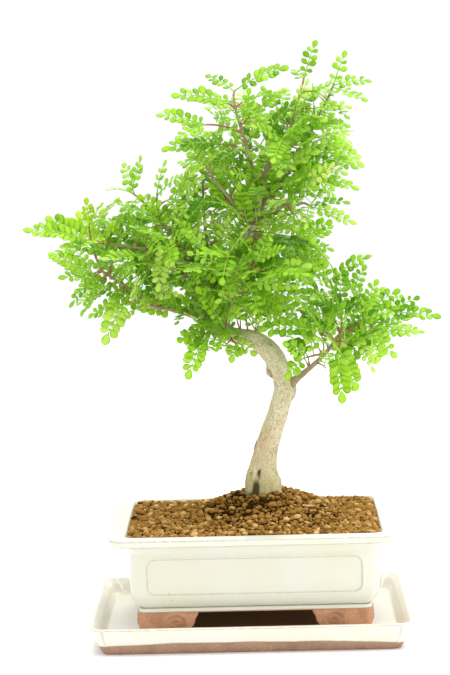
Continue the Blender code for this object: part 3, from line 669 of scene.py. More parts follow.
@dataclass(frozen=True)
class Bark:
    """Bark with lengthwise streaks; the mesh marks the place round the limb and along it.

    Attributes:
        name: The material's name.
        age: How old the wood is.
        furrow: The deepest colour.
        body: The common colour.
        crest: The palest colour.
        moss: The tint near the soil and in patches.
        moss_share: How much of that tint there is.
    """

    name: str
    age: Age
    furrow: Colour
    body: Colour
    crest: Colour
    moss: Colour
    moss_share: float

    def dress(self) -> Material:
        """Lays out the material.

        Returns:
            The material.
        """
        graph = NodeGraph(self.name)
        _, _, _, grain = graph.marks()
        dark, green, warm, _ = graph.marks(TINT)
        fine = 1.0 if self.age is Age.OLD else 1.6
        streak = graph.noise(grain, 0.55 * fine, 5.0, 0.68)
        plates = graph.noise(graph.scaled(grain, (1.0, 1.0, 2.4)), 0.22 * fine, 4.0, 0.6)
        value = graph.maths("ADD", graph.maths("MULTIPLY", streak, 0.6), graph.maths("MULTIPLY", plates, 0.4))
        colour = graph.ramp(value, ((0.36, self.furrow), (0.46, self.body),
                                    (0.56, self.body), (0.68, self.crest)))
        patch_share = graph.step(graph.noise(graph.place, 85, 3.0), 0.42, 0.62, 0.0, self.moss_share)
        colour = graph.mix(patch_share, colour, self.moss)
        speckle = graph.noise(graph.scaled(grain, (1.0, 1.0, 2.6)), 1.7 * fine, 3.0, 0.7)
        colour = graph.mix(graph.step(speckle, 0.50, 0.62, 0.0, 0.55), colour, self.furrow)
        colour = graph.mix(graph.step(speckle, 0.40, 0.34, 0.0, 0.45), colour, self.crest)
        dots = graph.step(graph.cells(graph.scaled(grain, (1.0, 1.0, 3.0)), 0.42), 0.10, 0.22, 0.45, 0.0)
        colour = graph.mix(dots, colour, self.crest)
        colour = graph.mix(graph.maths("MULTIPLY", warm, 0.4), colour, shade(204, 166, 122))
        colour = graph.mix(graph.maths("MULTIPLY", green, 0.6), colour, self.moss)
        shadow = graph.maths("ADD", dark, graph.maths("MULTIPLY", speckle, 0.25))
        hollow = graph.step(shadow, 0.25, 0.85, 0.0, 0.9)
        colour = graph.mix(hollow, colour, shade(44, 36, 16))
        value = graph.maths("SUBTRACT", value, graph.maths("MULTIPLY", speckle, 0.35))
        depth = {Age.OLD: 0.8, Age.GROWN: 0.35, Age.GREEN: 0.15}[self.age]
        rough = {Age.OLD: 0.86, Age.GROWN: 0.7, Age.GREEN: 0.5}[self.age]
        graph.surface(colour, rough, graph.bump(value, depth), IOR=1.4, Specular_IOR_Level=0.2)
        return graph.material


@dataclass(frozen=True)
class Blade:
    """A leaflet's face, with veins; the mesh marks the place along and across it, and its own tone.

    Attributes:
        name: The material's name.
        deep: The oldest leaflets, and leaves darkened as painted shade inside the foliage.
        fresh: The common colour.
        light: The youngest leaflets.
        vein: The midrib and side veins.
        shine: The roughness.
    """

    name: str
    deep: Colour
    fresh: Colour
    light: Colour
    vein: Colour
    shine: float

    def dress(self) -> Material:
        """Lays out the material.

        Returns:
            The material.
        """
        graph = NodeGraph(self.name)
        along, across, tone, _ = graph.marks()
        mottle = graph.noise(graph.place, 260, 3.0)
        value = graph.maths("ADD", tone, graph.maths("MULTIPLY", mottle, 0.30))
        value = graph.maths("SUBTRACT", value, 0.15)
        side = graph.maths("ABSOLUTE", across)
        colour = graph.ramp(value, ((0.08, self.deep), (0.5, self.fresh), (0.95, self.light)))
        rim = graph.step(side, 0.80, 1.0, 0.0, 0.25)
        colour = graph.mix(rim, colour, self.light)
        midrib = graph.step(side, 0.02, 0.09, 1.0, 0.0)
        fan = graph.maths("SUBTRACT", graph.maths("MULTIPLY", along, 7.0), graph.maths("MULTIPLY", side, 3.2))
        ribs = graph.step(graph.maths("PINGPONG", fan, 0.5), 0.0, 0.13, 1.0, 0.0)
        veins = graph.maths("MAXIMUM", graph.maths("MULTIPLY", midrib, 0.7),
                            graph.maths("MULTIPLY", ribs, 0.28))
        colour = graph.mix(veins, colour, self.vein)
        relief = graph.maths("SUBTRACT", graph.maths("MULTIPLY", mottle, 0.4), veins)
        normal = graph.bump(relief, 0.12)
        face = graph.surface(colour, self.shine, normal, IOR=1.45, Specular_IOR_Level=0.18)
        through = graph.tree.nodes.new("ShaderNodeBsdfTranslucent")
        glow = graph.mix(0.35, colour, self.light)
        graph.put(through.inputs["Color"], glow)
        graph.put(through.inputs["Normal"], normal)
        both = graph.tree.nodes.new("ShaderNodeMixShader")
        both.inputs[0].default_value = 0.44
        graph.tree.links.new(face.outputs[0], both.inputs[1])
        graph.tree.links.new(through.outputs[0], both.inputs[2])
        graph.tree.links.new(both.outputs[0], graph.out.inputs["Surface"])
        return graph.material


@dataclass(frozen=True)
class Stalk:
    """The soft midrib that carries the leaflets.

    Attributes:
        name: The material's name.
        base: The colour near the twig.
        tip: The colour at the far end.
    """

    name: str
    base: Colour
    tip: Colour

    def dress(self) -> Material:
        """Lays out the material.

        Returns:
            The material.
        """
        graph = NodeGraph(self.name)
        along, _, _, grain = graph.marks()
        blotch = graph.noise(graph.place, 300, 2.0)
        value = graph.maths("ADD", along, graph.maths("MULTIPLY_ADD", blotch, 0.5))
        colour = graph.ramp(graph.maths("SUBTRACT", value, 0.2), ((0.1, self.base), (0.55, self.tip)))
        graph.surface(colour, 0.5, graph.bump(graph.noise(grain, 3.0), 0.05), IOR=1.45)
        return graph.material


@dataclass(frozen=True)
class Plastic:
    """Moulded dark plastic.

    Attributes:
        name: The material's name.
        body: Its colour.
    """

    name: str
    body: Colour

    def dress(self) -> Material:
        """Lays out the material.

        Returns:
            The material.
        """
        graph = NodeGraph(self.name)
        grain = graph.noise(graph.place, 1500, 2.0)
        dust = graph.step(graph.noise(graph.place, 90, 3.0), 0.5, 0.75, 0.0, 0.35)
        colour = graph.mix(dust, self.body, shade(110, 92, 70))
        graph.surface(colour, graph.step(grain, 0.3, 0.7, 0.42, 0.6), graph.bump(grain, 0.05), IOR=1.5)
        return graph.material


@dataclass(frozen=True)
class Floor:
    """The pale ground under the tray."""

    name: str = "pale_ground"

    def dress(self) -> Material:
        """Lays out the material.

        Returns:
            The material.
        """
        graph = NodeGraph(self.name)
        soft = graph.noise(graph.place, 2.0, 2.0)
        colour = graph.mix(soft, (0.995, 0.995, 0.995), (0.975, 0.975, 0.975))
        graph.surface(colour, 0.9, IOR=1.2)
        return graph.material


def rounded_plan(half_x: float, half_y: float, corner: float, stations_x: Sequence[float],
                 stations_y: Sequence[float], arc: int) -> Array:
    """One level outline, with the same points along its sides at every size.

    Args:
        half_x: Half its length.
        half_y: Half its width.
        corner: The corners' radius.
        stations_x: Places along a long side, from the middle, in rising order.
        stations_y: The same along a short side.
        arc: Steps round each corner.

    Returns:
        Its points, anticlockwise.
    """
    corner = max(0.3, corner)
    keep_x, keep_y = half_x - corner, half_y - corner
    xs = np.clip(stations_x, -keep_x, keep_x)
    ys = np.clip(stations_y, -keep_y, keep_y)
    xs[0], xs[-1] = -keep_x, keep_x
    ys[0], ys[-1] = -keep_y, keep_y
    turns = np.linspace(0, math.pi / 2, arc + 1)[1:-1]
    points = [(half_x, y) for y in ys]
    points += [(keep_x + corner * math.cos(t), keep_y + corner * math.sin(t)) for t in turns]
    points += [(x, half_y) for x in xs[::-1]]
    points += [(-keep_x - corner * math.sin(t), keep_y + corner * math.cos(t)) for t in turns]
    points += [(-half_x, y) for y in ys[::-1]]
    points += [(-keep_x - corner * math.cos(t), -keep_y - corner * math.sin(t)) for t in turns]
    points += [(x, -half_y) for x in xs]
    points += [(keep_x + corner * math.sin(t), -keep_y - corner * math.cos(t)) for t in turns]
    return np.array(points)


def softened(profile: Sequence[tuple[float, float, float]]) -> Array:
    """A profile with its corners rounded.

    Args:
        profile: Distance out, height, and the radius at each corner.

    Returns:
        Distance out, height, and how close each point is to the middle of a rounding, 0 to 1.
    """
    made = [(*profile[0][:2], 0.0)]
    for before, here, after in zip(profile, profile[1:], profile[2:]):
        corner = np.array(here[:2])
        back = np.array(before[:2]) - corner
        on = np.array(after[:2]) - corner
        back_length, on_length = np.linalg.norm(back), np.linalg.norm(on)
        back, on = back / back_length, on / on_length
        turn = math.pi - math.acos(float(np.clip(back.dot(on), -1, 1)))
        if here[2] <= 0 or turn < 0.02:
            made.append((*corner, 0.0))
            continue
        cut = min(here[2] * math.tan(turn / 2), 0.48 * back_length, 0.48 * on_length)
        first, last = corner + back * cut, corner + on * cut
        count = max(3, int(math.ceil(here[2] * turn / CORNER_STEP)) + 1)
        for i in range(count):
            t = i / (count - 1)
            spot = curved(first, corner, last, t)
            made.append((*spot, math.sin(math.pi * t)))
    made.append((*profile[-1][:2], 0.0))
    return np.array(made)


def filled_in(profile: Array, most: float) -> Array:
    """A profile with points added where two lie far apart.

    Args:
        profile: Distance out, height, and a mark, one per row.
        most: The longest step left.

    Returns:
        The fuller profile.
    """
    made = [profile[0]]
    for near, far in zip(profile, profile[1:]):
        count = max(1, int(math.ceil(np.linalg.norm(far[:2] - near[:2]) / most)))
        made.extend(near + (far - near) * i / count for i in range(1, count + 1))
    return np.array(made)


@dataclass
class Tray:
    """The drip tray: a shallow glazed dish on a bare clay foot.

    Attributes:
        glaze: Its material.
        height: How tall it is.
        floor: The height of its inside floor.
        flare: How much wider the rim is than the foot, each side.
        corner: The corners' radius.
    """

    glaze: Material
    height: float = 20.5
    floor: float = 9.0
    flare: float = 9.0
    corner: float = 9.0

    def build(self) -> None:
        """Makes the tray."""
        half_x, half_y, middle = plan_of("drip_tray")
        outside = softened((
            (-self.flare - 30, 0.0, 0), (-self.flare, 0.0, 0.9), (-self.flare * 0.45, 10.0, 30),
            (0.0, self.height - 1.0, 1.3), (-0.9, self.height, 1.0), (-2.5, self.height, 0.8),
            (-6.0, self.height - 4.3, 1.2), (-8.0, self.floor + 3.0, 4.0), (-10.5, self.floor, 3.2),
            (-76.0, self.floor, 0),
        ))
        rows = filled_in(outside, 2.2)
        along_x = np.linspace(-half_x, half_x, 61)
        along_y = np.linspace(-half_y, half_y, 45)
        shape = Shape()
        rings, marks = [], []
        inner = False
        for out, z, bend in rows:
            ring = rounded_plan(half_x + out, half_y + out, self.corner + max(out, -4.0) * 0.55,
                                along_x, along_y, 9)
            count = len(ring)
            inner = inner or z >= self.height - 0.01
            wave = np.array([noise.noise(Vector((x / 38, y / 38, 5.0))) for x, y in ring])
            swell = 8.4 - 3.4 * np.abs(ring[:, 0] / half_x) ** 2.2 - 0.7 * ring[:, 0] / half_x
            rise = z - (swell + 0.6 * wave) if not inner else np.full(count, GLAZED)
            bent = bend if inner or z > 12 else 0.0
            # Painted shade on the inside floor under the pot, strongest towards the middle.
            edge = np.maximum(np.abs(ring[:, 0]) - 80, np.abs(ring[:, 1]) - 64)
            painted_shade_under_pot = np.clip(0.5 - edge / 9, 0, 1) if inner and z < self.floor + 0.1 else np.zeros(count)
            rings.append(np.column_stack([ring, np.full(count, z) + 0.12 * wave * min(1.0, z / 5)]))
            marks.append(np.column_stack([rise, np.full(count, 0.85 * bent * (z > 14)), painted_shade_under_pot]))
        shape.loft(rings, marks)
        middle[2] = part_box("drip_tray")[0].z / MM
        shape.points[0] = shape.points[0] + middle
        shape.piece("glazed_drip_tray", [self.glaze], Slot.TRAY, ["drip_tray"])


@dataclass
class Pot:
    """The glazed pot: lip, neck, panelled walls, tucked base and four scrolled feet.

    Attributes:
        glaze: Its material.
        overhang: How far the lip stands out from the walls.
        lip_edge: How thick the lip is.
        lip_flat: How wide the lip is on top.
        neck: How tall the curve under the lip is.
        tuck: How far the base draws in.
        tuck_height: How tall that curve is.
        band: The height of the plain band under the body.
        foot_height: How tall the feet are.
        wall: How thick the walls are.
        panel_margin: From the corner of the body to the panel's frame.
        panel_rise: From the bottom of the body to the panel's frame.
        panel_drop: From the panel's frame to the neck.
        panel_depth: How deep the panel sinks.
        panel_corner: The radius of the panel's corners.
        corner: The radius of the body's corners at the lip.
        floor: How thick the floor is.
        foot_length: A foot's leg along the pot.
        foot_width: Its leg across the pot.
        foot_thick: How thick the legs are.
        drain: The drain holes' radius.
        drain_gap: The distance between them.
        base: The height that the pot stands at, read from the frame.
        rim: The height of the lip's top, read from the frame.
    """

    glaze: Material
    overhang: float = 14.0
    lip_edge: float = 6.0
    lip_flat: float = 11.5
    neck: float = 6.8
    tuck: float = 8.5
    tuck_height: float = 21.0
    band: float = 3.4
    foot_height: float = 17.3
    wall: float = 6.0
    panel_margin: float = 13.0
    panel_rise: float = 11.1
    panel_drop: float = 4.8
    panel_depth: float = 1.1
    panel_corner: float = 6.0
    corner: float = 11.0
    floor: float = 6.5
    foot_length: float = 43.0
    foot_width: float = 34.0
    foot_thick: float = 14.0
    drain: float = 6.5
    drain_gap: float = 80.0
    base: float = field(init=False, default=0.0)
    rim: float = field(init=False, default=0.0)

    def profile(self) -> Array:
        """The pot's section, from the middle of its underside, round the lip and down inside.

        Returns:
            Distance out from the lip's outline, height, and rounding, one per row.
        """
        under = self.base + self.foot_height
        body = under + self.band
        waist = -self.overhang - self.tuck
        lip = self.rim - self.lip_edge
        top = lip - self.neck
        inner = -self.overhang - self.wall
        rows = [(waist - 32, under, 0), (waist + 3.0, under, 0.9), (waist + 3.0, body, 1.2),
                (waist, body, 1.0)]
        for step in range(1, TUCK_STEPS + 1):
            angle = math.pi / 2 * step / TUCK_STEPS
            rows.append((waist + self.tuck * math.sin(angle),
                         body + self.tuck_height * (1 - math.cos(angle)), 4.0))
        rows += [
            (-self.overhang, top, 3.0), (-self.overhang + 1.5, lip - 2.4, 3.0),
            (-self.overhang + 6.0, lip, 2.5), (-0.4, lip + 0.3, 1.2), (0.0, self.rim - 0.4, 1.3),
            (-self.lip_flat, self.rim, 1.1), (-self.lip_flat - 1.5, self.rim - 3.5, 2.0), (inner, top, 4.0),
            (inner, body + self.tuck_height, 6.0), (inner - self.tuck, under + self.floor, 6.0),
            (waist - 36, under + self.floor, 0),
        ]
        return filled_in(softened(rows), 1.6)

    def panel(self, u: Array, z: float, half: float, low: float,
              high: float) -> tuple[Array, Array]:
        """The framed panel sunk into a wall.

        Args:
            u: Places along the wall, from its middle.
            z: The height.
            half: Half the panel's length.
            low: The panel's lower edge.
            high: Its upper edge.

        Returns:
            How far each place moves out, and how thin the glaze lies there.
        """
        corner = self.panel_corner
        away_u = np.abs(u) - (half - corner)
        away_z = abs(z - (low + high) / 2) - ((high - low) / 2 - corner)
        outside = np.hypot(np.maximum(away_u, 0), max(away_z, 0.0))
        distance = outside + np.minimum(np.maximum(away_u, away_z), 0) - corner
        sink = -self.panel_depth / (1 + np.exp(np.clip(distance / 0.28, -40, 40)))
        bead = 0.35 * np.exp(-((distance - 0.9) / 0.7) ** 2)
        thin = 0.55 * np.exp(-((distance - 0.1) / 0.45) ** 2)
        return sink + bead, thin

    def build(self) -> None:
        """Makes the pot with its feet and drain holes."""
        self.base, self.rim = (corner.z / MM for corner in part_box("pot"))
        half_x, half_y, middle = plan_of("pot")
        body_low = self.base + self.foot_height + self.band + self.panel_rise
        body_high = self.rim - self.lip_edge - self.neck - self.panel_drop
        spans = (half_x - self.overhang - self.panel_margin, half_y - self.overhang - self.panel_margin)
        along = []
        for half, span in ((half_x, spans[0]), (half_y, spans[1])):
            coarse = np.arange(-math.floor(span / 3.5), math.floor(span / 3.5) + 1) * 3.5
            fine = np.arange(span - 6.5, span + 2.6, 0.42)
            row = np.concatenate([coarse[np.abs(coarse) < span - 7.5], fine, -fine, [-half, half]])
            along.append(np.unique(np.round(row, 3)))
        rows = self.profile()
        fuller = []
        for near, far in zip(rows, rows[1:]):
            fuller.append(near)
            steep = far[1] - near[1] > 0.5 and near[0] > -self.overhang - self.tuck - 1
            close = any(abs((near[1] + far[1]) / 2 - edge) < 4.0 for edge in (body_low + 2, body_high - 2))
            if steep and close:
                count = int(abs(far[1] - near[1]) / 0.4)
                fuller.extend(near + (far - near) * i / (count + 1) for i in range(1, count + 1))
        fuller.append(rows[-1])
        shape = Shape()
        rings, marks = [], []
        past = False
        for out, z, bend in fuller:
            past = past or z >= self.rim - 0.02
            corner = max(2.5, self.corner + out * 0.28)
            ring = rounded_plan(half_x + out, half_y + out, corner, along[0], along[1], 10)
            count = len(ring)
            wave = np.array([noise.noise(Vector((x / 45, y / 45, z / 60))) for x, y in ring])
            rise = np.full(count, z - (self.base + self.foot_height + 0.5))
            thin = np.full(count, 0.7 * bend * (z > self.rim - self.lip_edge - 1.5))
            if not past and out > -self.overhang - 1.2 and z < self.rim - self.lip_edge - 2:
                for axis, span in ((1, spans[0]), (0, spans[1])):
                    edge = half_y + out if axis == 1 else half_x + out
                    on_wall = np.abs(np.abs(ring[:, axis]) - edge) < 0.02
                    move, lines = self.panel(ring[:, 1 - axis], z, span, body_low, body_high)
                    ring[on_wall, axis] += np.sign(ring[on_wall, axis]) * move[on_wall]
                    thin[on_wall] = np.maximum(thin[on_wall], lines[on_wall])
            if past:
                rise = np.full(count, GLAZED)
            rings.append(np.column_stack([ring, z + 0.18 * wave * (z > self.rim - 8)]))
            marks.append(np.column_stack([rise, thin, np.zeros(count)]))
        shape.loft(rings, marks)
        self.feet(shape, half_x, half_y)
        for part, points in enumerate(shape.points):
            shape.points[part] = points + middle
        self.pierce(shape.piece("glazed_pot", [self.glaze], Slot.POT, ["pot"]), middle)

    def feet(self, shape: Shape, half_x: float, half_y: float) -> None:
        """Adds the four corner feet, each an L in plan whose legs end in a scroll.

        Args:
            shape: Where they go.
            half_x: Half the lip's length.
            half_y: Half the lip's width.
        """
        outer_x = half_x - self.overhang - self.tuck + 2.4
        outer_y = half_y - self.overhang - self.tuck + 2.4
        for side_x in (-1, 1):
            for side_y in (-1, 1):
                rings = [np.column_stack([side_x * (outer_x - ring[:, 0]), side_y * (outer_y - ring[:, 1]),
                                          ring[:, 2] + self.base]) for ring in self.foot()]
                shape.loft(rings, [np.tile((-GLAZED, 0.0, 0.0), (len(ring), 1)) for ring in rings])

    def foot(self) -> list[Array]:
        """One foot, from its outer corner.

        Returns:
            Its rings, from the ground up.
        """
        length, width, thick, turn = self.foot_length, self.foot_width, self.foot_thick, 5.0
        top = self.foot_height + 1.6
        levels = np.concatenate([[0.0, 0.25, 0.7], np.linspace(1.5, top, 20)])
        rings = []
        for z in levels:
            share = z / top
            cut = 9.0 * (1 - share) ** 0.6 * (0.55 + 0.45 * math.cos(math.pi * min(1.0, share * 1.25)))
            cut += 1.6 * math.exp(-((share - 0.62) / 0.12) ** 2)
            ease = 0.9 * max(0.0, 1 - z / 0.9) ** 2
            bulge = 0.7 * math.sin(math.pi * share) ** 2
            reach, span = length - cut - ease, width - cut - ease
            outline = [(reach - t * (reach - turn), -bulge + ease) for t in np.linspace(0, 1, 26)]
            outline += [(turn - turn * math.sin(a) - bulge * math.sin(a) + ease,
                         turn - turn * math.cos(a) - bulge * math.cos(a) + ease)
                        for a in np.linspace(0.15, math.pi / 2 - 0.15, 7)]
            outline += [(-bulge + ease, turn + t * (span - turn)) for t in np.linspace(0, 1, 20)]
            outline += [(thick * t, span + 0.8 * math.sin(math.pi * t)) for t in np.linspace(0.15, 0.9, 6)]
            outline += [(thick, span - t * (span - thick)) for t in np.linspace(0.05, 0.95, 12)]
            outline += [(thick + t * (reach - thick), thick) for t in np.linspace(0.05, 0.95, 16)]
            outline += [(reach + 0.8 * math.sin(math.pi * t), thick - thick * t)
                        for t in np.linspace(0.1, 0.85, 6)]
            ring = np.array(outline)
            for axis, leg in ((0, length), (1, width)):
                on_face = ring[:, 1 - axis] < 0.6
                u = ring[:, axis]
                relief = self.scroll(u - (leg - 15.0), z - top * 0.50)
                ring[on_face, 1 - axis] -= relief[on_face]
            rings.append(np.column_stack([ring, np.full(len(ring), z)]))
        return rings

    @staticmethod
    def scroll(u: Array, z: float) -> Array:
        """The raised scroll on a leg.

        Args:
            u: Places along the leg from the scroll's middle.
            z: Height from the scroll's middle.

        Returns:
            How far each place stands out.
        """
        away = np.hypot(u, z * 1.1)
        turn = np.arctan2(z, u)
        arm = np.mod(away - 2.1 * turn / math.pi, 4.2) - 2.1
        fade = np.clip((9.5 - away) / 2.0, 0, 1)
        return 2.0 * fade * np.exp(-(arm / 0.95) ** 2)

    def pierce(self, pot: bpy.types.Object, middle: Array) -> None:
        """Cuts the two drain holes.

        Args:
            pot: The pot's piece.
            middle: The pot's middle.
        """
        for side in (-1, 1):
            tool = bmesh.new()
            bmesh.ops.create_cone(tool, cap_ends=True, segments=40, radius1=self.drain * MM,
                                  radius2=self.drain * MM, depth=40 * MM)
            mesh = bpy.data.meshes.new("drain_tool")
            tool.to_mesh(mesh)
            tool.free()
            cutter = bpy.data.objects.new("drain_tool", mesh)
            cutter.location = ((middle[0] + side * self.drain_gap / 2) * MM, middle[1] * MM,
                               (self.base + self.foot_height + 3) * MM)
            bpy.context.scene.collection.objects.link(cutter)
            cut = pot.modifiers.new("drain", "BOOLEAN")
            cut.operation = "DIFFERENCE"
            cut.solver = "EXACT"
            cut.object = cutter
            bpy.context.view_layer.update()
            graph = bpy.context.evaluated_depsgraph_get()
            result = bpy.data.meshes.new_from_object(pot.evaluated_get(graph))
            pot.modifiers.remove(cut)
            old = pot.data
            pot.data = result
            bpy.data.meshes.remove(old)
            bpy.data.objects.remove(cutter)
            bpy.data.meshes.remove(mesh)


@dataclass
class SoilBed:
    """The soil: the frame's own bed with loose baked granules over it.

    Attributes:
        earth: Its material.
        chip: The material of the wood chip.
        stem: Where the trunk stands.
        clear: How far granules stay from the trunk's middle.
        small: The smallest granule's radius.
        large: The largest granule's radius.
        mound: How far the soil rises round the trunk.
        corner: The radius of its corners in the pot.
        tries: How many places are tried.
        crumb_count: How many small crumbs lie among the granules.
        seed: The seed of their places.
    """

    earth: Material
    chip: Material
    stem: Array
    clear: float = 11.5
    small: float = 1.25
    large: float = 2.9
    mound: float = 21.0
    corner: float = 7.0
    tries: int = 30000
    crumb_count: int = 1500
    seed: int = 5

    @staticmethod
    def pebble(detail: int) -> tuple[Array, list[tuple[int, ...]]]:
        """A round start for granules.

        Args:
            detail: How finely it is divided.

        Returns:
            Its points and faces.
        """
        made = bmesh.new()
        bmesh.ops.create_icosphere(made, subdivisions=detail, radius=1.0)
        points = np.array([vert.co for vert in made.verts])
        faces = [tuple(vert.index for vert in face.verts) for face in made.faces]
        made.free()
        return points, faces

    def painted_shade_patch(self, x: float, y: float) -> float:
        """How much painted shade darkens the soil at a place, most to the left of and in front of the trunk.

        Args:
            x: Across, from the trunk.
            y: Back, from the trunk.

        Returns:
            From 0 to 1.
        """
        patch_share = math.exp(-((x + 22) / 26) ** 2 - ((y + 4) / 24) ** 2)
        patch_share += 0.55 * math.exp(-((x + 4) / 20) ** 2 - ((y + 24) / 12) ** 2)
        patch_share += 0.35 * noise.noise(Vector((x / 18, y / 18, 3.0)))
        return min(1.0, max(0.0, patch_share))

    def build(self) -> None:
        """Strews the granules and gives the bed its finish."""
        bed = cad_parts["soil"]
        # The bed carries no marks, so it takes the darkest colour: painted shade under the granules.
        bed.data.materials.clear()
        bed.data.materials.append(self.earth)
        corners = [tuple(vert.co / MM) for vert in bed.data.vertices]
        tree = BVHTree.FromPolygons(corners, [tuple(face.vertices) for face in bed.data.polygons])
        low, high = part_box("soil")
        low, high = low / MM, high / MM
        chance = random.Random(self.seed)
        round_points, faces = self.pebble(2)
        shape = Shape()
        bank = high.z - self.mound
        cells: dict[tuple[int, int], list[tuple[float, float, float]]] = {}
        laid = 0
        for attempt in range(self.tries):
            radius = self.large - (self.large - self.small) * min(1.0, (attempt / self.tries) * 2.4) ** 0.6
            radius *= chance.uniform(0.82, 1.1)
            x = chance.uniform(low.x + radius - 1.5, high.x - radius + 1.5)
            y = chance.uniform(low.y + radius - 1.5, high.y - radius + 1.5)
            if math.hypot(x - self.stem[0], y - self.stem[1]) < self.clear + radius * 0.5:
                continue
            cell = (int(x // CELL), int(y // CELL))
            near = (spot for i in (-1, 0, 1) for j in (-1, 0, 1)
                    for spot in cells.get((cell[0] + i, cell[1] + j), ()))
            if any(math.hypot(x - a, y - b) < 0.80 * (radius + r) for a, b, r in near):
                continue
            hit, normal, _, _ = tree.ray_cast(Vector((x, y, high.z + 20)), Vector((0, 0, -1)))
            if hit is None or normal.z < STEEP:
                corner = (abs(x - (low.x + high.x) / 2) - (high.x - low.x) / 2 + self.corner,
                          abs(y - (low.y + high.y) / 2) - (high.y - low.y) / 2 + self.corner)
                if min(corner) > 0 and math.hypot(*corner) > self.corner - radius:
                    continue
                hit = Vector((x, y, bank - radius * 0.6))
            cells.setdefault(cell, []).append((x, y, radius))
            laid += 1
            level = hit.z + radius * chance.uniform(-0.15, 0.35)
            self.granule(shape, round_points, faces, (x, y, level), radius, chance)
        LOG.info("granules: %d", laid)
        self.crumbs(shape, tree, chance)
        self.shard(shape, tree, high.z)
        shape.piece("soil_granules", [self.earth, self.chip], Slot.SOIL)

    def crumbs(self, shape: Shape, tree: BVHTree, chance: random.Random) -> None:
        """Scatters small crumbs among the granules.

        Args:
            shape: Where they go.
            tree: The soil's surface.
            chance: The source of their variation.
        """
        low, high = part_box("soil")
        low, high = low / MM, high / MM
        points, faces = self.pebble(1)
        for _ in range(self.crumb_count):
            x, y = chance.uniform(low.x + 6, high.x - 6), chance.uniform(low.y + 6, high.y - 6)
            if math.hypot(x - self.stem[0], y - self.stem[1]) < self.clear:
                continue
            hit, normal, _, _ = tree.ray_cast(Vector((x, y, high.z + 20)), Vector((0, 0, -1)))
            if hit is None or normal.z < STEEP:
                continue
            radius = chance.uniform(0.55, 1.15)
            self.granule(shape, points, faces, (x, y, hit.z + chance.uniform(0.6, 2.2)), radius, chance)

    def granule(self, shape: Shape, points: Array, faces: list[tuple[int, ...]],
                place: tuple[float, float, float], radius: float, chance: random.Random) -> None:
        """Adds one granule.

        Args:
            shape: Where it goes.
            points: The round start.
            faces: Its faces.
            place: Its middle.
            radius: Its size.
            chance: The source of its variations.
        """
        seed = chance.uniform(0, 100)
        stretch = np.array([chance.uniform(*span) for span in ((0.8, 1.2), (0.8, 1.2), (0.62, 0.95))])
        swell = np.array([noise.noise(Vector((p[0] * 1.5 + seed, p[1] * 1.5, p[2] * 1.5)))
                          + 0.35 * noise.noise(Vector((p[0] * 4 + seed, p[1] * 4, p[2] * 4)))
                          for p in points])
        turned = np.array(Matrix.Rotation(chance.uniform(0, 2 * math.pi), 3, "Z")
                          @ Matrix.Rotation(chance.uniform(-0.5, 0.5), 3, "X"))
        made = (points * stretch * (radius * (1 + 0.5 * swell))[:, None]) @ turned.T
        # Granules to the left of and in front of the trunk take painted shade.
        patch_share = self.painted_shade_patch(place[0] - self.stem[0], place[1] - self.stem[1])
        tone = min(1.0, max(0.0, chance.gauss(0.60, 0.22) - 0.42 * patch_share))
        # How high each point sits in its granule, which the material turns into painted shade towards the
        # bottom.
        rise = np.clip(made[:, 2] / radius * 0.6 + 0.55, 0, 1)
        marks = np.column_stack([np.full(len(made), tone), rise, np.full(len(made), seed)])
        shape.add(made + place, faces, marks)

    def shard(self, shape: Shape, tree: BVHTree, top: float) -> None:
        """Adds the pale chip of wood and a short dry stem that lie on the soil.

        Args:
            shape: Where they go.
            tree: The soil's surface.
            top: The soil's highest point.
        """
        for x, y, size, turn, tilt in (
            (34, -22, (11.0, 2.2, 1.5), 0.25, 0.10),
            (-16, -16, (6.5, 1.1, 1.0), 1.9, 0.45),
        ):
            spot = Vector((self.stem[0] + x, self.stem[1] + y, top + 20))
            hit, _, _, _ = tree.ray_cast(spot, Vector((0, 0, -1)))
            if hit is None:
                continue
            rows, sides = 13, 10
            points = []
            for t in np.linspace(-1, 1, rows):
                wide = (1 - abs(t) ** 2.6) ** 0.5 if abs(t) < 1 else 0.05
                for a in np.linspace(0, 2 * math.pi, sides + 1)[:-1]:
                    rough = 1 + 0.2 * noise.noise(Vector((t * 3, math.cos(a), math.sin(a))))
                    points.append((t * size[0] / 2, math.cos(a) * wide * size[1] / 2 * rough,
                                   math.sin(a) * wide * size[2] / 2 * rough + 0.4 * t * t))
            turned = Matrix.Rotation(turn, 3, "Z") @ Matrix.Rotation(tilt, 3, "Y")
            made = np.array(points) @ np.array(turned).T + np.array([hit.x, hit.y, hit.z + 2.4])
            faces = grid_faces(rows, sides)
            faces.append(tuple(range(sides - 1, -1, -1)))
            faces.append(tuple(range((rows - 1) * sides, rows * sides)))
            shape.add(made, faces, np.array([x, y, 0.0]), [1] * len(faces))


# How far the trunk stands to the right of the pot's middle
TRUNK_ASIDE = 7.0

# Centre line of the trunk from its foot, with its diameter
TRUNK_LINE: tuple[Row, ...] = (
    (0, 0, -11, 20), (-1, 0, -3, 25), (0, 0, 4, 27), (0, 0, 12, 26), (1, 0, 20, 21), (3, 0, 29, 18),
    (5, 0, 37, 17), (9, -1, 49, 16), (13, -2, 60, 15.5), (16, -2, 70, 15.5), (18, -3, 79, 15.5),
    (17, -3, 88, 14.5), (14, -4, 97, 15), (10, -4, 105, 15.5), (4, -4, 112, 14),
    (-4, -3, 117, 12.5), (-14, -2, 119, 11.5), (-23, 0, 121, 11), (-33, 2, 125, 10.5),
    (-40, 3, 132, 10), (-44, 4, 141, 10), (-44, 5, 151, 9.5), (-41, 6, 160, 9.5),
    (-35, 6, 167, 9.5), (-27, 5, 172, 9), (-18, 4, 178, 8.6), (-11, 3, 187, 8), (-5, 2, 197, 7.4),
    (-1, 1, 209, 6.8), (2, 0, 220, 6), (4, 0, 229, 5.4),
)

# Knots on the trunk: height, side angle in degrees, bulge and reach
KNOTS: tuple[Row, ...] = ((78, 15, 2.2, 5.0), (95, 195, 3.4, 4.2), (34, 170, 1.2, 4.0), (112, 150, 1.6, 4.5))

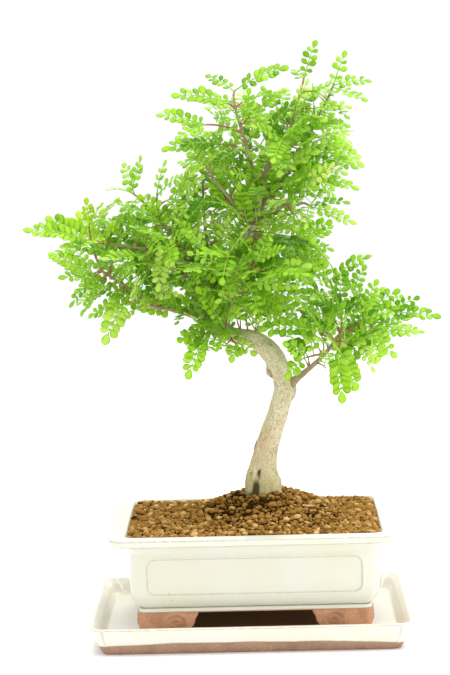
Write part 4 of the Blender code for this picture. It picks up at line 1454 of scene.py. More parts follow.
# Each branch runs through points with a diameter; the first point lies in the wood that it grows from
BRANCHES: tuple[tuple[str, tuple[Row, ...]], ...] = (
    ("branch_right_lower",
     ((18, -3, 79, 7.5), (28, -6, 87, 6), (36, -10, 94, 5), (45, -12, 102, 4.2), (53, -14, 111, 3.6),
      (59, -12, 119, 3.2), (70, -6, 124, 2.8), (82, 0, 129, 2.4), (92, 3, 132, 2))),
    ("branch_left_lower",
     ((-42, 3, 136, 6.5), (-52, 0, 137, 5.2), (-64, -5, 141, 4.6), (-80, -12, 145, 4),
      (-93, -16, 157, 3.4), (-104, -18, 165, 2.8), (-114, -18, 172, 2.2))),
    ("branch_left_upper",
     ((-39, 6, 163, 6), (-48, 0, 178, 4.6), (-56, -5, 189, 4), (-63, -8, 198, 3.4),
      (-70, -10, 208, 2.8), (-72, -10, 218, 2.2))),
    ("branch_left_mid",
     ((-43, 5, 156, 5), (-52, -10, 166, 3.8), (-60, -18, 176, 3.2), (-72, -24, 184, 2.8),
      (-91, -28, 190, 2.4), (-111, -28, 193, 2))),
    ("branch_centre_rise",
     ((-31, 6, 170, 5), (-36, 15, 182, 3.6), (-38, 18, 199, 3), (-39, 20, 219, 2.6), (-39, 20, 238, 2))),
    ("branch_centre",
     ((-24, 0, 121, 5), (-21, -18, 137, 3.6), (-17, -28, 152, 3), (-10, -32, 164, 2.6), (-4, -34, 173, 2))),
    ("leader_left",
     ((0, 0, 213, 5), (0, -8, 233, 4.2), (-3, -11, 252, 3.6), (-8, -12, 270, 3), (-12, -12, 284, 2.4),
      (-14, -10, 297, 2))),
    ("leader_mid",
     ((4, 0, 229, 5), (10, -4, 245, 4.2), (18, -6, 258, 3.6), (27, -8, 273, 3), (32, -8, 289, 2.4),
      (36, -6, 302, 2))),
    ("leader_right",
     ((0, 1, 210, 5), (16, 10, 230, 4), (32, 13, 247, 3.4), (40, 13, 262, 3), (44, 12, 273, 2.6),
      (51, 10, 285, 2.3), (57, 7, 297, 2))),
    ("branch_upper_right",
     ((-3, 1, 203, 4.6), (12, -8, 212, 3.4), (26, -14, 217, 2.8), (36, -16, 218, 2.2))),
    ("branch_mid_right",
     ((-8, 3, 191, 4.8), (7, 12, 193, 3.6), (24, 18, 191, 2.8), (37, 20, 186, 2.2))),
    ("branch_upper_left",
     ((-3, 1, 203, 4.8), (-11, -12, 212, 3.6), (-19, -18, 223, 3), (-27, -22, 234, 2.6),
      (-34, -22, 245, 2))),
    ("branch_front",
     ((-30, 5, 170, 5), (-28, -16, 174, 3.8), (-25, -36, 180, 3), (-20, -56, 185, 2.2))),
    ("branch_rear",
     ((-14, 4, 183, 5), (-9, 24, 185, 3.8), (-5, 44, 188, 3), (-2, 62, 189, 2.2))),
    ("branch_rear_left",
     ((-44, 5, 147, 5), (-51, 24, 151, 3.8), (-62, 42, 157, 3), (-75, 56, 161, 2.2))),
)

# Each spray: the wood that it grows on, how far along it, the end of its twig, and its leaf tips
SPRAYS: tuple[tuple[str, str, float, Row, tuple[Row, ...]], ...] = (
    ("crown_mid", "leader_mid", 1, (38, -6, 309), ((47, -10, 335), (30, 14, 315))),
    ("crown_right", "leader_right", 1, (60, 5, 304), ((69, 4, 327), (88, 10, 305), (84, -8, 291))),
    ("crown_right_side", "leader_right", 0.62, (51, 2, 275), ((68, -8, 274), (61, 36, 288))),
    ("crown_left", "leader_left", 1, (-13, -8, 301), ((26, -14, 317), (-34, 5, 312))),
    ("crown_left_arch", "leader_left", 0.86, (-20, -14, 293), ((-59, -16, 298), (-34, -34, 288))),
    ("crown_far_left", "leader_left", 0.6, (-37, -22, 277), ((-70, -24, 285), (-56, -42, 267))),
    ("crown_left_low", "leader_left", 0.45, (-28, -4, 262), ((-68, -4, 259), (-49, 16, 273))),
    ("crown_right_droop", "leader_right", 0.5, (51, 20, 265), ((82, 18, 241), (74, 40, 259))),
    ("crown_right_low", "leader_right", 0.33, (40, 10, 246), ((69, -2, 237), (62, 22, 216))),
    ("crown_front", "leader_mid", 0.5, (20, -26, 265), ((-1, -46, 276), (38, -46, 282), (13, -54, 249))),
    ("crown_centre", "leader_mid", 0.75, (19, 2, 286), ((7, 0, 303), (24, 26, 302))),
    ("crown_rear", "leader_mid", 0.3, (10, 24, 253), ((-9, 48, 268), (29, 52, 269), (6, 58, 241))),
    ("upper_right", "branch_upper_right", 1, (41, -16, 215),
     ((74, -14, 201), (54, -34, 228), (36, -38, 200))),
    ("upper_left", "branch_upper_left", 1, (-37, -22, 249),
     ((-47, -34, 240), (-49, -6, 252), (-23, -42, 258))),
    ("mid_right", "branch_mid_right", 1, (41, 20, 185), ((58, 14, 180), (58, 36, 197), (33, 46, 171))),
    ("left_tip", "branch_left_mid", 1, (-124, -26, 195),
     ((-169, -30, 204), (-154, -12, 211), (-150, -40, 183))),
    ("left_young", "branch_left_lower", 1, (-122, -20, 207), ((-124, -16, 225), (-111, -28, 222))),
    ("left_low", "branch_left_lower", 0.93, (-115, -20, 162), ((-131, -30, 159), (-132, -6, 137))),
    ("left_hanging", "branch_left_lower", 0.74, (-98, -22, 151), ((-114, -24, 117), (-110, -38, 140))),
    ("left_upright", "branch_left_upper", 0.8, (-91, -12, 229),
     ((-83, -14, 255), (-108, -26, 231), (-97, 8, 249))),
    ("left_crest", "branch_left_upper", 1, (-72, -12, 227), ((-65, -12, 251), (-52, -30, 241))),
    ("left_front", "branch_left_upper", 0.45, (-65, -38, 193),
     ((-82, -66, 205), (-60, -68, 178), (-46, -56, 202))),
    ("left_back", "branch_left_mid", 0.5, (-82, 6, 201), ((-105, 24, 208), (-78, 34, 219))),
    ("left_rear", "branch_rear_left", 1, (-80, 60, 163), ((-111, 72, 168), (-91, 80, 185), (-84, 76, 139))),
    ("centre_top", "branch_centre_rise", 1, (-39, 20, 244),
     ((-34, 28, 269), (-58, 42, 248), (-22, 46, 238))),
    ("centre_tip", "branch_centre", 1, (1, -38, 178), ((21, -54, 189), (-11, -60, 196))),
    ("centre_low", "branch_centre", 0.6, (-5, -38, 161), ((30, -38, 158), (-30, -58, 150))),
    ("front", "branch_front", 1, (-19, -60, 187), ((-4, -86, 207), (-39, -92, 189), (-25, -90, 166))),
    ("rear", "branch_rear", 1, (-1, 66, 191), ((16, 88, 209), (-24, 94, 198), (12, 92, 166))),
    ("trunk_hanging", "trunk", 0.62, (-41, -8, 120), ((-54, -12, 88), (-60, -26, 119))),
    ("trunk_under", "trunk", 0.56, (-17, -14, 115), ((-21, -20, 101), (-2, -30, 108))),
    ("right_tall", "branch_right_lower", 0.66, (53, -20, 161), ((83, -28, 179), (34, -36, 161))),
    ("right_second", "branch_right_lower", 0.84, (72, 6, 152), ((81, 4, 169), (58, 22, 165))),
    ("right_reach", "branch_right_lower", 1, (95, 3, 132), ((136, 0, 129), (110, 24, 144))),
    ("right_drop", "branch_right_lower", 0.88, (84, -8, 119), ((102, -12, 101), (90, 24, 92))),
    ("right_hanging", "branch_right_lower", 0.64, (58, -20, 107), ((61, -24, 69), (73, 4, 74))),
    ("right_inner", "branch_right_lower", 0.42, (32, -24, 104), ((19, -28, 89), (18, -42, 118))),
    ("right_front", "branch_right_lower", 0.56, (46, -34, 125),
     ((0, -46, 129), (31, -50, 148), (63, -54, 147))),
    ("right_rear", "branch_right_lower", 0.72, (68, 26, 116), ((90, 52, 101), (55, 58, 126))),
)

# Where foliage gathers: middle and half sizes
PADS: tuple[tuple[Row, Row], ...] = (
    ((8, 0, 266), (66, 60, 38)),
    ((48, 0, 290), (26, 30, 24)),
    ((28, 0, 232), (52, 52, 28)),
    ((-20, 6, 222), (40, 50, 32)),
    ((-92, -6, 180), (64, 58, 50)),
    ((-138, -24, 200), (32, 26, 20)),
    ((-122, -22, 216), (22, 20, 16)),
    ((-22, -4, 165), (58, 78, 40)),
    ((-26, -30, 132), (46, 48, 26)),
    ((26, -4, 168), (50, 60, 38)),
    ((62, -4, 130), (48, 52, 42)),
    ((106, 2, 130), (32, 24, 20)),
)


@dataclass
class Limb:
    """A smooth run of wood.

    Attributes:
        rows: Its centre line from the tree's foot, with its diameter.
        sides: How many sides it has.
        step: The distance between its rings.
        line: The smooth line through the rows.
    """

    rows: Sequence[Row]
    sides: int = 14
    step: float = RING_STEP
    line: Array = field(init=False)

    def __post_init__(self) -> None:
        """Eases the line."""
        self.line = eased(self.rows, self.step)

    def at(self, share: float) -> tuple[Array, Array, float]:
        """A place on the limb.

        Args:
            share: How far along its given rows, 0 to 1.

        Returns:
            The place, the forward direction and the radius.
        """
        spot = min(len(self.line) - 1.001, max(0.0, share * (len(self.line) - 1)))
        i = int(spot)
        row = self.line[i] * (1 - spot + i) + self.line[i + 1] * (spot - i)
        return row[:3], unit(self.line[i + 1][:3] - self.line[i][:3]), float(row[3]) / 2

    def at_row(self, share: float) -> tuple[Array, Array, float]:
        """A place on the limb, found by counting its given rows.

        Args:
            share: A share of the count of given rows, 0 to 1.

        Returns:
            The place, the forward direction and the radius.
        """
        given = np.array(self.rows, float)
        chords = np.concatenate(([0.0], np.cumsum(np.linalg.norm(np.diff(given[:, :3], axis=0), axis=1))))
        spot = share * (len(given) - 1)
        along = float(np.interp(spot, np.arange(len(given)), chords))
        return self.at(along / float(chords[-1]))

    def grow(self, shape: Shape, form: Callable[[Array, Array], tuple[Array, Array]], foot: Array) -> None:
        """Adds the limb's surface.

        Args:
            shape: Where it goes.
            form: Gives the radius and the tint from the rings and the angles round them.
            foot: The tree's foot.
        """
        turns = np.arange(self.sides) * 2 * math.pi / self.sides
        radius, tint = form(self.line, turns)
        away = np.arange(len(self.line)) * self.step
        marks = np.stack([radius * np.cos(turns), radius * np.sin(turns),
                          np.broadcast_to((away * 0.16)[:, None], radius.shape)], axis=2)
        marks = np.concatenate([marks, tint], axis=2)
        moved = self.line.copy()
        moved[:, :3] += foot
        shape.tube(moved, radius, marks)


@dataclass
class Wood:
    """The trunk and the branches.

    Attributes:
        foot: The tree's foot.
        old: The trunk's bark.
        grown: The branches' bark.
        limbs: Each limb by its name, once it is built.
    """

    foot: Array
    old: Material
    grown: Material
    limbs: dict[str, Limb] = field(default_factory=dict)

    @staticmethod
    def trunk_form(line: Array, turns: Array) -> tuple[Array, Array]:
        """The trunk's form: root flare, a cleft at the soil, knots and furrowed bark.

        Args:
            line: Its rings.
            turns: The angles round it.

        Returns:
            The radius at each ring and angle, and how much painted shade, green and warm tint the bark has
            there.
        """
        height = line[:, 2:3]
        angle = turns[None, :]
        flare = np.maximum(0.0, 1 - np.abs(height - 6) / 20)
        form = 1 + flare * (0.07 * np.cos(3 * angle + 0.8) + 0.05 * np.cos(5 * angle - 0.4))
        cleft = np.exp(-((angle - math.radians(256)) / 0.22) ** 2) * flare
        cleft += 0.5 * np.exp(-((angle - math.radians(300)) / 0.12) ** 2) * flare
        # The dark values are painted shade: in the cleft and the notch above it, where the trunk meets the
        # soil, and in rings round the knots.
        dark = np.exp(-((angle - math.radians(248)) / 0.20) ** 2 - ((height - 5) / 7) ** 2)
        dark += 0.8 * np.exp(-((angle - math.radians(256)) / 0.12) ** 2 - ((height - 17) / 2.6) ** 2)
        dark += 0.5 * np.exp(-((height + 0.5) / 2.2) ** 2)
        bulge = np.zeros_like(form)
        for knot_height, knot_angle, rise, reach in KNOTS:
            turn = np.mod(angle - math.radians(knot_angle) + math.pi, 2 * math.pi) - math.pi
            bulge += rise * np.exp(-((height - knot_height) / reach) ** 2 - (turn / 0.55) ** 2)
            away = np.hypot((height - knot_height) / reach, turn / 0.5)
            dark += 0.55 * np.exp(-((away - 0.9) / 0.28) ** 2)
        radius = line[:, 3:4] / 2 * (form - 0.19 * cleft) + bulge
        rough = np.zeros_like(radius)
        for i, row in enumerate(line):
            size = row[3] / 2
            for j, turn in enumerate(turns):
                c, s = math.cos(turn) * size, math.sin(turn) * size
                ridge = noise.noise(Vector((c * 0.42, s * 0.42, i * 0.055)))
                fine = noise.noise(Vector((c * 1.1, s * 1.1, i * 0.16)))
                crack = abs(noise.noise(Vector((c * 0.75, s * 0.75, i * 0.09 + 40))))
                rough[i, j] = 0.62 * ridge + 0.26 * fine - 0.55 * max(0.0, 0.16 - crack) / 0.16
                rough[i, j] *= min(1.0, size / 7)
        green = np.exp(-((height - 6) / 12) ** 2) * (0.6 + 0.4 * np.cos(angle - 4.0))
        warm = np.exp(-((height - 34) / 20) ** 2) * np.maximum(0, np.cos(angle - math.radians(225)))
        return radius + rough * 0.85, np.stack(np.broadcast_arrays(np.clip(dark, 0, 1), green, warm), axis=2)

    @staticmethod
    def branch_form(line: Array, turns: Array) -> tuple[Array, Array]:
        """A branch's form: a collar where it starts, and slight joints along it.

        Args:
            line: Its rings.
            turns: The angles round it.

        Returns:
            The radius at each ring and angle, and how much painted shade, green and warm tint the bark has
            there.
        """
        away = np.arange(len(line))[:, None] * RING_STEP
        start = line[0, 3] / 2
        collar = 0.35 * start * np.exp(-((away - start * 1.6) / 5.0) ** 2)
        joint = 0.16 * np.exp(-((np.mod(away, 13.0) - 6.5) / 1.1) ** 2)
        rough = np.array([[noise.noise(Vector((math.cos(t) * 1.4 + line[0, 0], math.sin(t) * 1.4, i * 0.28)))
                           for t in turns] for i in range(len(line))])
        slim = 0.74 + 0.26 * np.exp(-away / 12)
        # Painted shade round the collar where the branch leaves the wood that it grows from.
        dark = 0.35 * np.exp(-((away - line[0, 3] * 0.9) / 2.5) ** 2)
        none = np.zeros((len(line), len(turns)))
        radius = line[:, 3:4] / 2 * slim + collar + joint + 0.16 * rough * np.minimum(1.0, line[:, 3:4] / 3)
        return radius, np.stack([dark + none, none, none], axis=2)

    def build(self) -> None:
        """Makes the trunk and every branch."""
        trunk = Limb(TRUNK_LINE, 64, 1.3)
        self.limbs["trunk"] = trunk
        shape = Shape()
        trunk.grow(shape, self.trunk_form, self.foot)
        shape.piece("trunk_wood", [self.old], Slot.BARK, ["trunk"])
        for name, rows in BRANCHES:
            limb = Limb(rows)
            self.limbs[name] = limb
            shape = Shape()
            limb.grow(shape, self.branch_form, self.foot)
            shape.piece(name + "_wood", [self.grown], Slot.BRANCH, [name])


@dataclass
class LeafSet:
    """Pinnate leaves collected for one piece.

    Attributes:
        foot: The tree's foot.
        chance: The source of small variations.
        leaflet: The common leaflet's length.
        broad: Its breadth as a share of that.
        shape: The mesh in the making.
        blades: The leaflets noted so far.
    """

    foot: Array
    chance: random.Random
    leaflet: float = 7.7
    broad: float = 0.68
    shape: Shape = field(default_factory=Shape)
    blades: list[tuple[Array, ...]] = field(default_factory=list)

    # A leaflet's outline: how far along, and the share of its full breadth; then its lengthwise lines
    STATIONS = ((0.0, 0.10), (0.14, 0.42), (0.34, 0.80), (0.56, 1.0), (0.76, 0.90), (0.92, 0.56), (1.0, 0.16))
    ACROSS = (-1.0, -0.5, 0.0, 0.5, 1.0)

    def template(self) -> tuple[Array, list[tuple[int, ...]], list[int]]:
        """One leaflet, one long and one broad.

        Returns:
            Its points as along, across and share of half breadth, then its faces, then each face's side.
        """
        rows, columns = len(self.STATIONS), len(self.ACROSS)
        points = [(t, u * w / 2, u) for t, w in self.STATIONS for u in self.ACROSS]
        lower = {}
        for i in range(1, rows - 1):
            for j in range(1, columns - 1):
                lower[i, j] = len(points)
                t, w = self.STATIONS[i]
                points.append((t, self.ACROSS[j] * w / 2, self.ACROSS[j]))
        faces = grid_faces(rows, columns, closed=False)
        sides = [0] * len(faces)
        for i in range(rows - 1):
            for j in range(columns - 1):
                ring = [(i, j), (i + 1, j), (i + 1, j + 1), (i, j + 1)]
                faces.append(tuple(lower.get(spot, spot[0] * columns + spot[1]) for spot in ring))
                sides.append(1)
        return np.array(points), faces, sides

    def blade(self, root: Array, out: Array, normal: Array, length: float, breadth: float,
              tone: float) -> None:
        """Notes one leaflet.

        Args:
            root: Where it starts.
            out: The way that it points.
            normal: The way that its face looks.
            length: Its length.
            breadth: Its breadth.
            tone: Its tone, 0 deep to 1 light.
        """
        across = unit(np.cross(normal, out))
        face = unit(np.cross(out, across))
        fold = self.chance.uniform(0.05, 0.30)
        curl = self.chance.uniform(-0.06, 0.16)
        twist = self.chance.uniform(-0.25, 0.25)
        self.blades.append((root, out, across, face, np.array([length, breadth, fold, curl, twist, tone])))

    def close(self) -> None:
        """Turns every noted leaflet into mesh."""
        if not self.blades:
            return
        points, faces, sides = self.template()
        t, v, u = points[:, 0], points[:, 1], points[:, 2]
        grid = len(self.STATIONS) * len(self.ACROSS)
        under = np.zeros(len(points))
        under[grid:] = 0.28
        for root, out, across, face, numbers in self.blades:
            length, breadth, fold, curl, twist, tone = numbers
            side = v * breadth
            lift = fold * np.abs(side) - curl * length * t**2 + twist * side * t
            lift = lift + 0.10 * length * np.sin(math.pi * t) * (0.4 - np.abs(u)) - under
            made = (root + out * (t * length)[:, None] + across * side[:, None] + face * lift[:, None])
            marks = np.column_stack([t, u, np.full(len(points), tone)])
            self.shape.add(made, faces, marks, sides)

    def grow(self, base: Array, tip: Array, normal: Array, tone: float,
             size: float = 1.0) -> Array:
        """Adds one leaf.

        Args:
            base: Where it leaves the wood.
            tip: The end of its last leaflet.
            normal: The way that its face looks.
            tone: Its tone, 0 deep to 1 light.
            size: The leaflets' size against the common one.

        Returns:
            The places of its leaflets' middles.
        """
        chance = self.chance
        span = tip - base
        length = float(np.linalg.norm(span))
        ahead = unit(span)
        face = unit(normal - normal.dot(ahead) * ahead)
        bend = base + span * 0.5 + np.array([0, 0, 0.10 * length]) + face * chance.uniform(-1.5, 2.5)
        pairs = max(3, min(8, int(round((length - 6) / (5.8 * size)))))
        leaf_size = self.leaflet * size * min(1.10, max(0.80, length / 37))
        reach = (length - leaf_size * 0.95) / length
        gap = (reach - 0.16) / (pairs - 0.35)
        spots = 0.16 + gap * np.arange(pairs)
        marks = np.linspace(0, reach, 14)

        def spot(t: float) -> Array:
            """The midrib's place at a share of its length."""
            return curved(base, bend, tip, t)

        rib = np.array([spot(t) for t in marks])
        line = np.column_stack([rib + self.foot, np.zeros(len(rib))])
        sides = np.arange(5.0)
        radius = np.linspace(0.62, 0.26, len(rib))[:, None] * np.ones(5) * (0.8 + 0.2 * size)
        rib_marks = np.stack([np.broadcast_to(marks[:, None] / reach, radius.shape),
                              np.broadcast_to(sides, radius.shape), np.full(radius.shape, tone)], axis=2)
        self.shape.tube(line, radius, rib_marks, 2)
        middles = []
        for i, t in enumerate(spots):
            here = spot(t)
            forward = unit(spot(min(1.0, t + 0.02)) - spot(t - 0.02))
            up = unit(face - face.dot(forward) * forward)
            side = np.cross(forward, up)
            grown = 0.74 + 0.26 * math.sin(math.pi * (0.15 + 0.75 * i / max(1, pairs - 1)))
            for sign in (-1, 1):
                spread = math.radians(chance.uniform(56, 70) - 8 * i / pairs)
                out = unit(forward * math.cos(spread) + sign * side * math.sin(spread)
                           + up * chance.uniform(-0.10, 0.26))
                lean = unit(up + sign * side * chance.uniform(-0.28, 0.18)
                            + forward * chance.uniform(-0.2, 0.2))
                own = leaf_size * grown * chance.uniform(0.88, 1.08)
                root = here + sign * side * 0.25 + forward * chance.uniform(-0.5, 0.5) + self.foot
                self.blade(root, out, lean, own, own * self.broad * chance.uniform(0.92, 1.08),
                           min(1.0, max(0.0, tone + chance.gauss(0, 0.11))))
                middles.append(here + out * own * 0.5)
        forward = unit(spot(reach) - spot(reach - 0.03))
        self.blade(spot(reach) + self.foot, forward, unit(face - face.dot(forward) * forward), leaf_size,
                   leaf_size * self.broad, min(1.0, tone + 0.05))
        middles.append(spot(reach) + forward * leaf_size * 0.5)
        return np.array(middles)


@dataclass
class Foliage:
    """Twigs and leaves over all the branches.

    Attributes:
        foot: The tree's foot.
        limbs: The wood that they grow on.
        twig: The twigs' bark.
        stalk: The midribs' finish.
        leaf: The leaflets' upper and under finishes.
        young: The same for the young tuft.
        seed: The seed of their variations.
        spacing: How close the middles of two leaves' leaflets may come.
        taken: The leaflets in place, by cell.
        leaves: How many leaves there are.
    """

    foot: Array
    limbs: dict[str, Limb]
    twig: Material
    stalk: Material
    leaf: tuple[Material, Material]
    young: tuple[Material, Material]
    seed: int = 23
    spacing: float = 4.3
    taken: dict[tuple[int, int, int], list[Array]] = field(default_factory=dict)
    leaves: int = 0

    # Sprays with large leaflets that face the front, and the tone of each spray's lead leaves
    HANGING = ("left_hanging", "trunk_hanging", "trunk_under", "right_hanging", "right_drop", "right_inner")
    TONES = {"upper_right": 0.66, "crown_right_low": 0.6, "crown_right_droop": 0.62, "centre_low": 0.6,
             "crown_mid": 0.30, "crown_right": 0.36, "crown_left": 0.32, "crown_left_arch": 0.40,
             "right_tall": 0.30, "right_front": 0.25, "right_reach": 0.28, "right_second": 0.35,
             "left_hanging": 0.74, "trunk_hanging": 0.50, "trunk_under": 0.66, "right_hanging": 0.46,
             "right_drop": 0.6, "right_inner": 0.5, "left_tip": 0.42, "left_low": 0.4, "front": 0.34}

    def cell(self, place: Array) -> tuple[int, ...]:
        """The cell of the crown that a place lies in."""
        return tuple(int(part // self.spacing) for part in place)

    def free(self, middles: Array) -> bool:
        """Whether leaflets have room among those in place.

        Args:
            middles: The new leaflets' middles.

        Returns:
            True if few of them are crowded.
        """
        crowded = 0
        for middle in middles:
            cell = self.cell(middle)
            near = (spot for i in (-1, 0, 1) for j in (-1, 0, 1) for k in (-1, 0, 1)
                    for spot in self.taken.get((cell[0] + i, cell[1] + j, cell[2] + k), ()))
            crowded += any(float(np.sum((spot - middle) ** 2)) < self.spacing**2 for spot in near)
        return crowded <= max(1, len(middles) // 7)

    def take(self, middles: Array) -> None:
        """Notes leaflets as in place."""
        for middle in middles:
            self.taken.setdefault(self.cell(middle), []).append(middle)

    def inside(self, place: Array, slack: float = 1.0) -> bool:
        """Whether a place is where foliage gathers.

        Args:
            place: The place.
            slack: One for the whole of each pad, less for its heart.

        Returns:
            True if one of the pads holds it.
        """
        return any(sum(((place[k] - middle[k]) / half[k]) ** 2 for k in range(3)) < slack
                   for middle, half in PADS)

    def within(self, place: Array) -> bool:
        """Whether a place keeps to the frame's box, give or take the room allowed.

        Args:
            place: The place.

        Returns:
            True if it does.
        """
        spot = (place + self.foot) * MM
        low, high = CAD_BOX
        return all(low[k] - ROOM < spot[k] < high[k] + ROOM for k in range(3))

    def facing(self, chance: random.Random, base: Array, tilt: float = 0.2) -> Array:
        """The way that a leaf's face looks: up and towards the open side.

        Args:
            chance: The source of variation.
            base: Where the leaf starts.
            tilt: How much it varies.

        Returns:
            The direction.
        """
        out = unit([base[0] * 0.005, -0.66 if base[1] < 22 else 0.55, 0.70])
        return unit(out + np.array([chance.gauss(0, tilt) for _ in range(3)]))

    def fill(self, made: LeafSet, base: Array, way: Array, chance: random.Random, low: float,
             high: float) -> bool:
        """Tries one more leaf from a place on the wood.

        Args:
            made: Where it goes.
            base: Its place.
            way: The way that it would like to point.
            chance: The source of variation.
            low: The shortest leaf.
            high: The longest leaf.

        Returns:
            True if a leaf found room.
        """
        for attempt in range(5):
            aim = unit(way + np.array([chance.gauss(0, 0.3) for _ in range(3)]) + np.array([0, 0, 0.1]))
            length = chance.uniform(low, high) * (1 - 0.06 * attempt)
            tip = base + aim * length
            if not (self.inside(base + aim * length * 0.85) and self.within(tip)):
                continue
            face = self.facing(chance, base)
            if abs(face.dot(aim)) > 0.9:
                continue
            state = chance.getstate()
            middles = LeafSet(made.foot, chance).grow(base, tip, face, 0.5)
            if not self.free(middles):
                continue
            chance.setstate(state)
            # Leaves whose middle lies in a pad's heart take a darker tone: painted shade inside the foliage.
            inner = 1 if self.inside(base + aim * length * 0.6, 0.5) else 0
            tone = min(0.9, max(0.05, chance.gauss(0.50 - 0.12 * inner, 0.22)))
            self.take(made.grow(base, tip, face, tone, chance.uniform(0.9, 1.06)))
            self.leaves += 1
            return True
        return False

    @staticmethod
    def twig_line(start: Array, forward: Array, radius: float, end: Array,
                  thick: float = 1.05) -> Array:
        """A twig's centre line with its diameter.

        Args:
            start: Where it grows from.
            forward: The way that the wood runs there.
            radius: How thick the wood is there.
            end: Where it ends.
            thick: The most that its own radius may be.

        Returns:
            The line, one row per ring.
        """
        span = end - start
        size = float(np.linalg.norm(span))
        bend = start + span * 0.45 + unit(forward) * 0.16 * size
        rows = []
        for t in np.linspace(0, 1, max(6, int(size / TWIG_STEP))):
            place = curved(start, bend, end, t)
            rows.append((*place, 2 * (min(radius * 0.85, thick) * (1 - t) + 0.5 * thick * t)))
        return np.array(rows)

    def twig_skin(self, made: LeafSet, line: Array) -> None:
        """Adds a twig's surface.

        Args:
            made: Where it goes.
            line: Its centre line with its diameter.
        """
        turns = np.arange(8) * math.pi / 4
        along = np.arange(len(line))[:, None] * TWIG_STEP
        joint = 0.16 * np.exp(-((np.mod(along, 6.5) - 3.2) / 0.9) ** 2)
        radius = line[:, 3:4] / 2 * (np.ones((1, 8)) + joint)
        marks = np.stack([radius * np.cos(turns), radius * np.sin(turns),
                          np.broadcast_to(along * 0.16, radius.shape)], axis=2)
        moved = line.copy()
        moved[:, :3] += self.foot
        made.shape.tube(moved, radius, marks, 3)

    def spray(self, row: tuple[str, str, float, Row, tuple[Row, ...]],
              chance: random.Random) -> tuple[LeafSet, Array]:
        """Starts one spray with its lead leaves.

        Args:
            row: The spray's name, wood, place, twig end and leaf tips.
            chance: The source of variation.

        Returns:
            The spray's leaves and its twig's line.
        """
        name, parent, share, end, tips = row
        line = self.twig_line(*self.limbs[parent].at_row(share), np.array(end, float))
        leaves = LeafSet(self.foot, chance)
        self.twig_skin(leaves, line)
        if name in self.HANGING:
            leaves.leaflet = 9.0
            leaves.broad = 0.72
        for number, tip in enumerate(tips):
            back = max(0, len(line) - 1 - int(number * 2.6 / TWIG_STEP))
            base = line[back, :3]
            tone = self.TONES.get(name, 0.46) + chance.uniform(-0.06, 0.06)
            face = self.facing(chance, base, 0.08)
            if name in self.HANGING:
                face = unit([0.15, -1.0, 0.25])
            self.take(leaves.grow(base, np.array(tip, float), face, tone))
            self.leaves += 1
        return leaves, line

    def sides(self, line: Array, k: int, spin: float) -> Array:
        """A direction out of a twig, for the next leaf round it.

        Args:
            line: The twig's centre line.
            k: The row that the leaf grows from.
            spin: The angle round the twig.

        Returns:
            The direction.
        """
        forward = unit(line[min(k + 1, len(line) - 1), :3] - line[k - 1, :3])
        side = unit(np.cross(forward, [0.1, 0.3, 1.0]))
        upper = np.cross(side, forward)
        return unit(forward * 0.55 + side * math.cos(spin) + upper * math.sin(spin) * 0.8)

    def shoots(self, name: str, chance: random.Random) -> LeafSet:
        """Fills in along one limb with short leafy shoots.

        Args:
            name: The limb's name.
            chance: The source of variation.

        Returns:
            The shoots' leaves and twigs.
        """
        limb = self.limbs[name]
        made = LeafSet(self.foot, chance)
        length = (len(limb.line) - 1) * limb.step
        spin = chance.uniform(0, 6.28)
        first, step = (0.46, 5.0) if name == "trunk" else (0.26, 7.0)
        for away in np.arange(length * first, length, step):
            place, forward, radius = limb.at(away / length)
            side = unit(np.cross(forward, [0.1, 0.3, 1.0]))
            upper = np.cross(side, forward)
            for _ in range(3):
                spin += LEAF_TURN
                way = unit(forward * 0.4 + side * math.cos(spin) + upper * math.sin(spin))
                end = place + way * (radius + chance.uniform(6, 15))
                if not (self.inside(end + way * 10) and self.within(end + way * 12)):
                    continue
                line = self.twig_line(place, forward, radius, end, 0.72)
                grown = self.fill(made, line[-1, :3], way, chance, 30, 44)
                for k in range(len(line) - 2, 2, -3):
                    spin += LEAF_TURN
                    grown += self.fill(made, line[k, :3], self.sides(line, k, spin), chance, 28, 42)
                if grown:
                    self.twig_skin(made, line)
        return made

    def build(self) -> None:
        """Makes every twig and leaf."""
        grown = []
        for index, row in enumerate(SPRAYS):
            chance = random.Random(self.seed * 100 + index)
            grown.append((row[0], chance, *self.spray(row, chance)))
        for name, chance, leaves, line in grown:
            spin = chance.uniform(0, 6.28)
            for k in range(len(line) - 2, 2, -3):
                spin += LEAF_TURN
                if not (name in self.HANGING and k < len(line) - 6):
                    self.fill(leaves, line[k, :3], self.sides(line, k, spin), chance, 28, 42)
            if name == "left_young":
                for _ in range(14):
                    spin += LEAF_TURN
                    way = unit([math.cos(spin) * 0.8, math.sin(spin) * 0.8 - 0.2, 0.9])
                    self.fill(leaves, line[-1 - int(chance.uniform(0, 5)), :3], way, chance, 13, 20)
        extras = {}
        for number, name in enumerate(self.limbs):
            extras[name] = self.shoots(name, random.Random(self.seed * 100 + 60 + number))
        for name, _, leaves, _ in grown:
            young = name == "left_young"
            self.finish(leaves, name + "_growth", self.young if young else self.leaf,
                        Slot.YOUNG if young else Slot.LEAF, [name + "_spray"])
        for name, leaves in extras.items():
            if leaves.blades:
                self.finish(leaves, name + "_leaves", self.leaf, Slot.LEAF, [])
        LOG.info("leaves: %d", self.leaves)

    def finish(self, leaves: LeafSet, name: str, pair: tuple[Material, Material],
               slot: Slot, replaces: Sequence[str]) -> None:
        """Turns a set of leaves and twigs into its piece.

        Args:
            leaves: The set.
            name: The piece's name.
            pair: The leaflets' upper and under finishes.
            slot: The record's slot that it belongs to.
            replaces: The frame's nodes that it stands for.
        """
        leaves.close()
        leaves.shape.piece(name, [*pair, self.stalk, self.twig], slot, replaces)


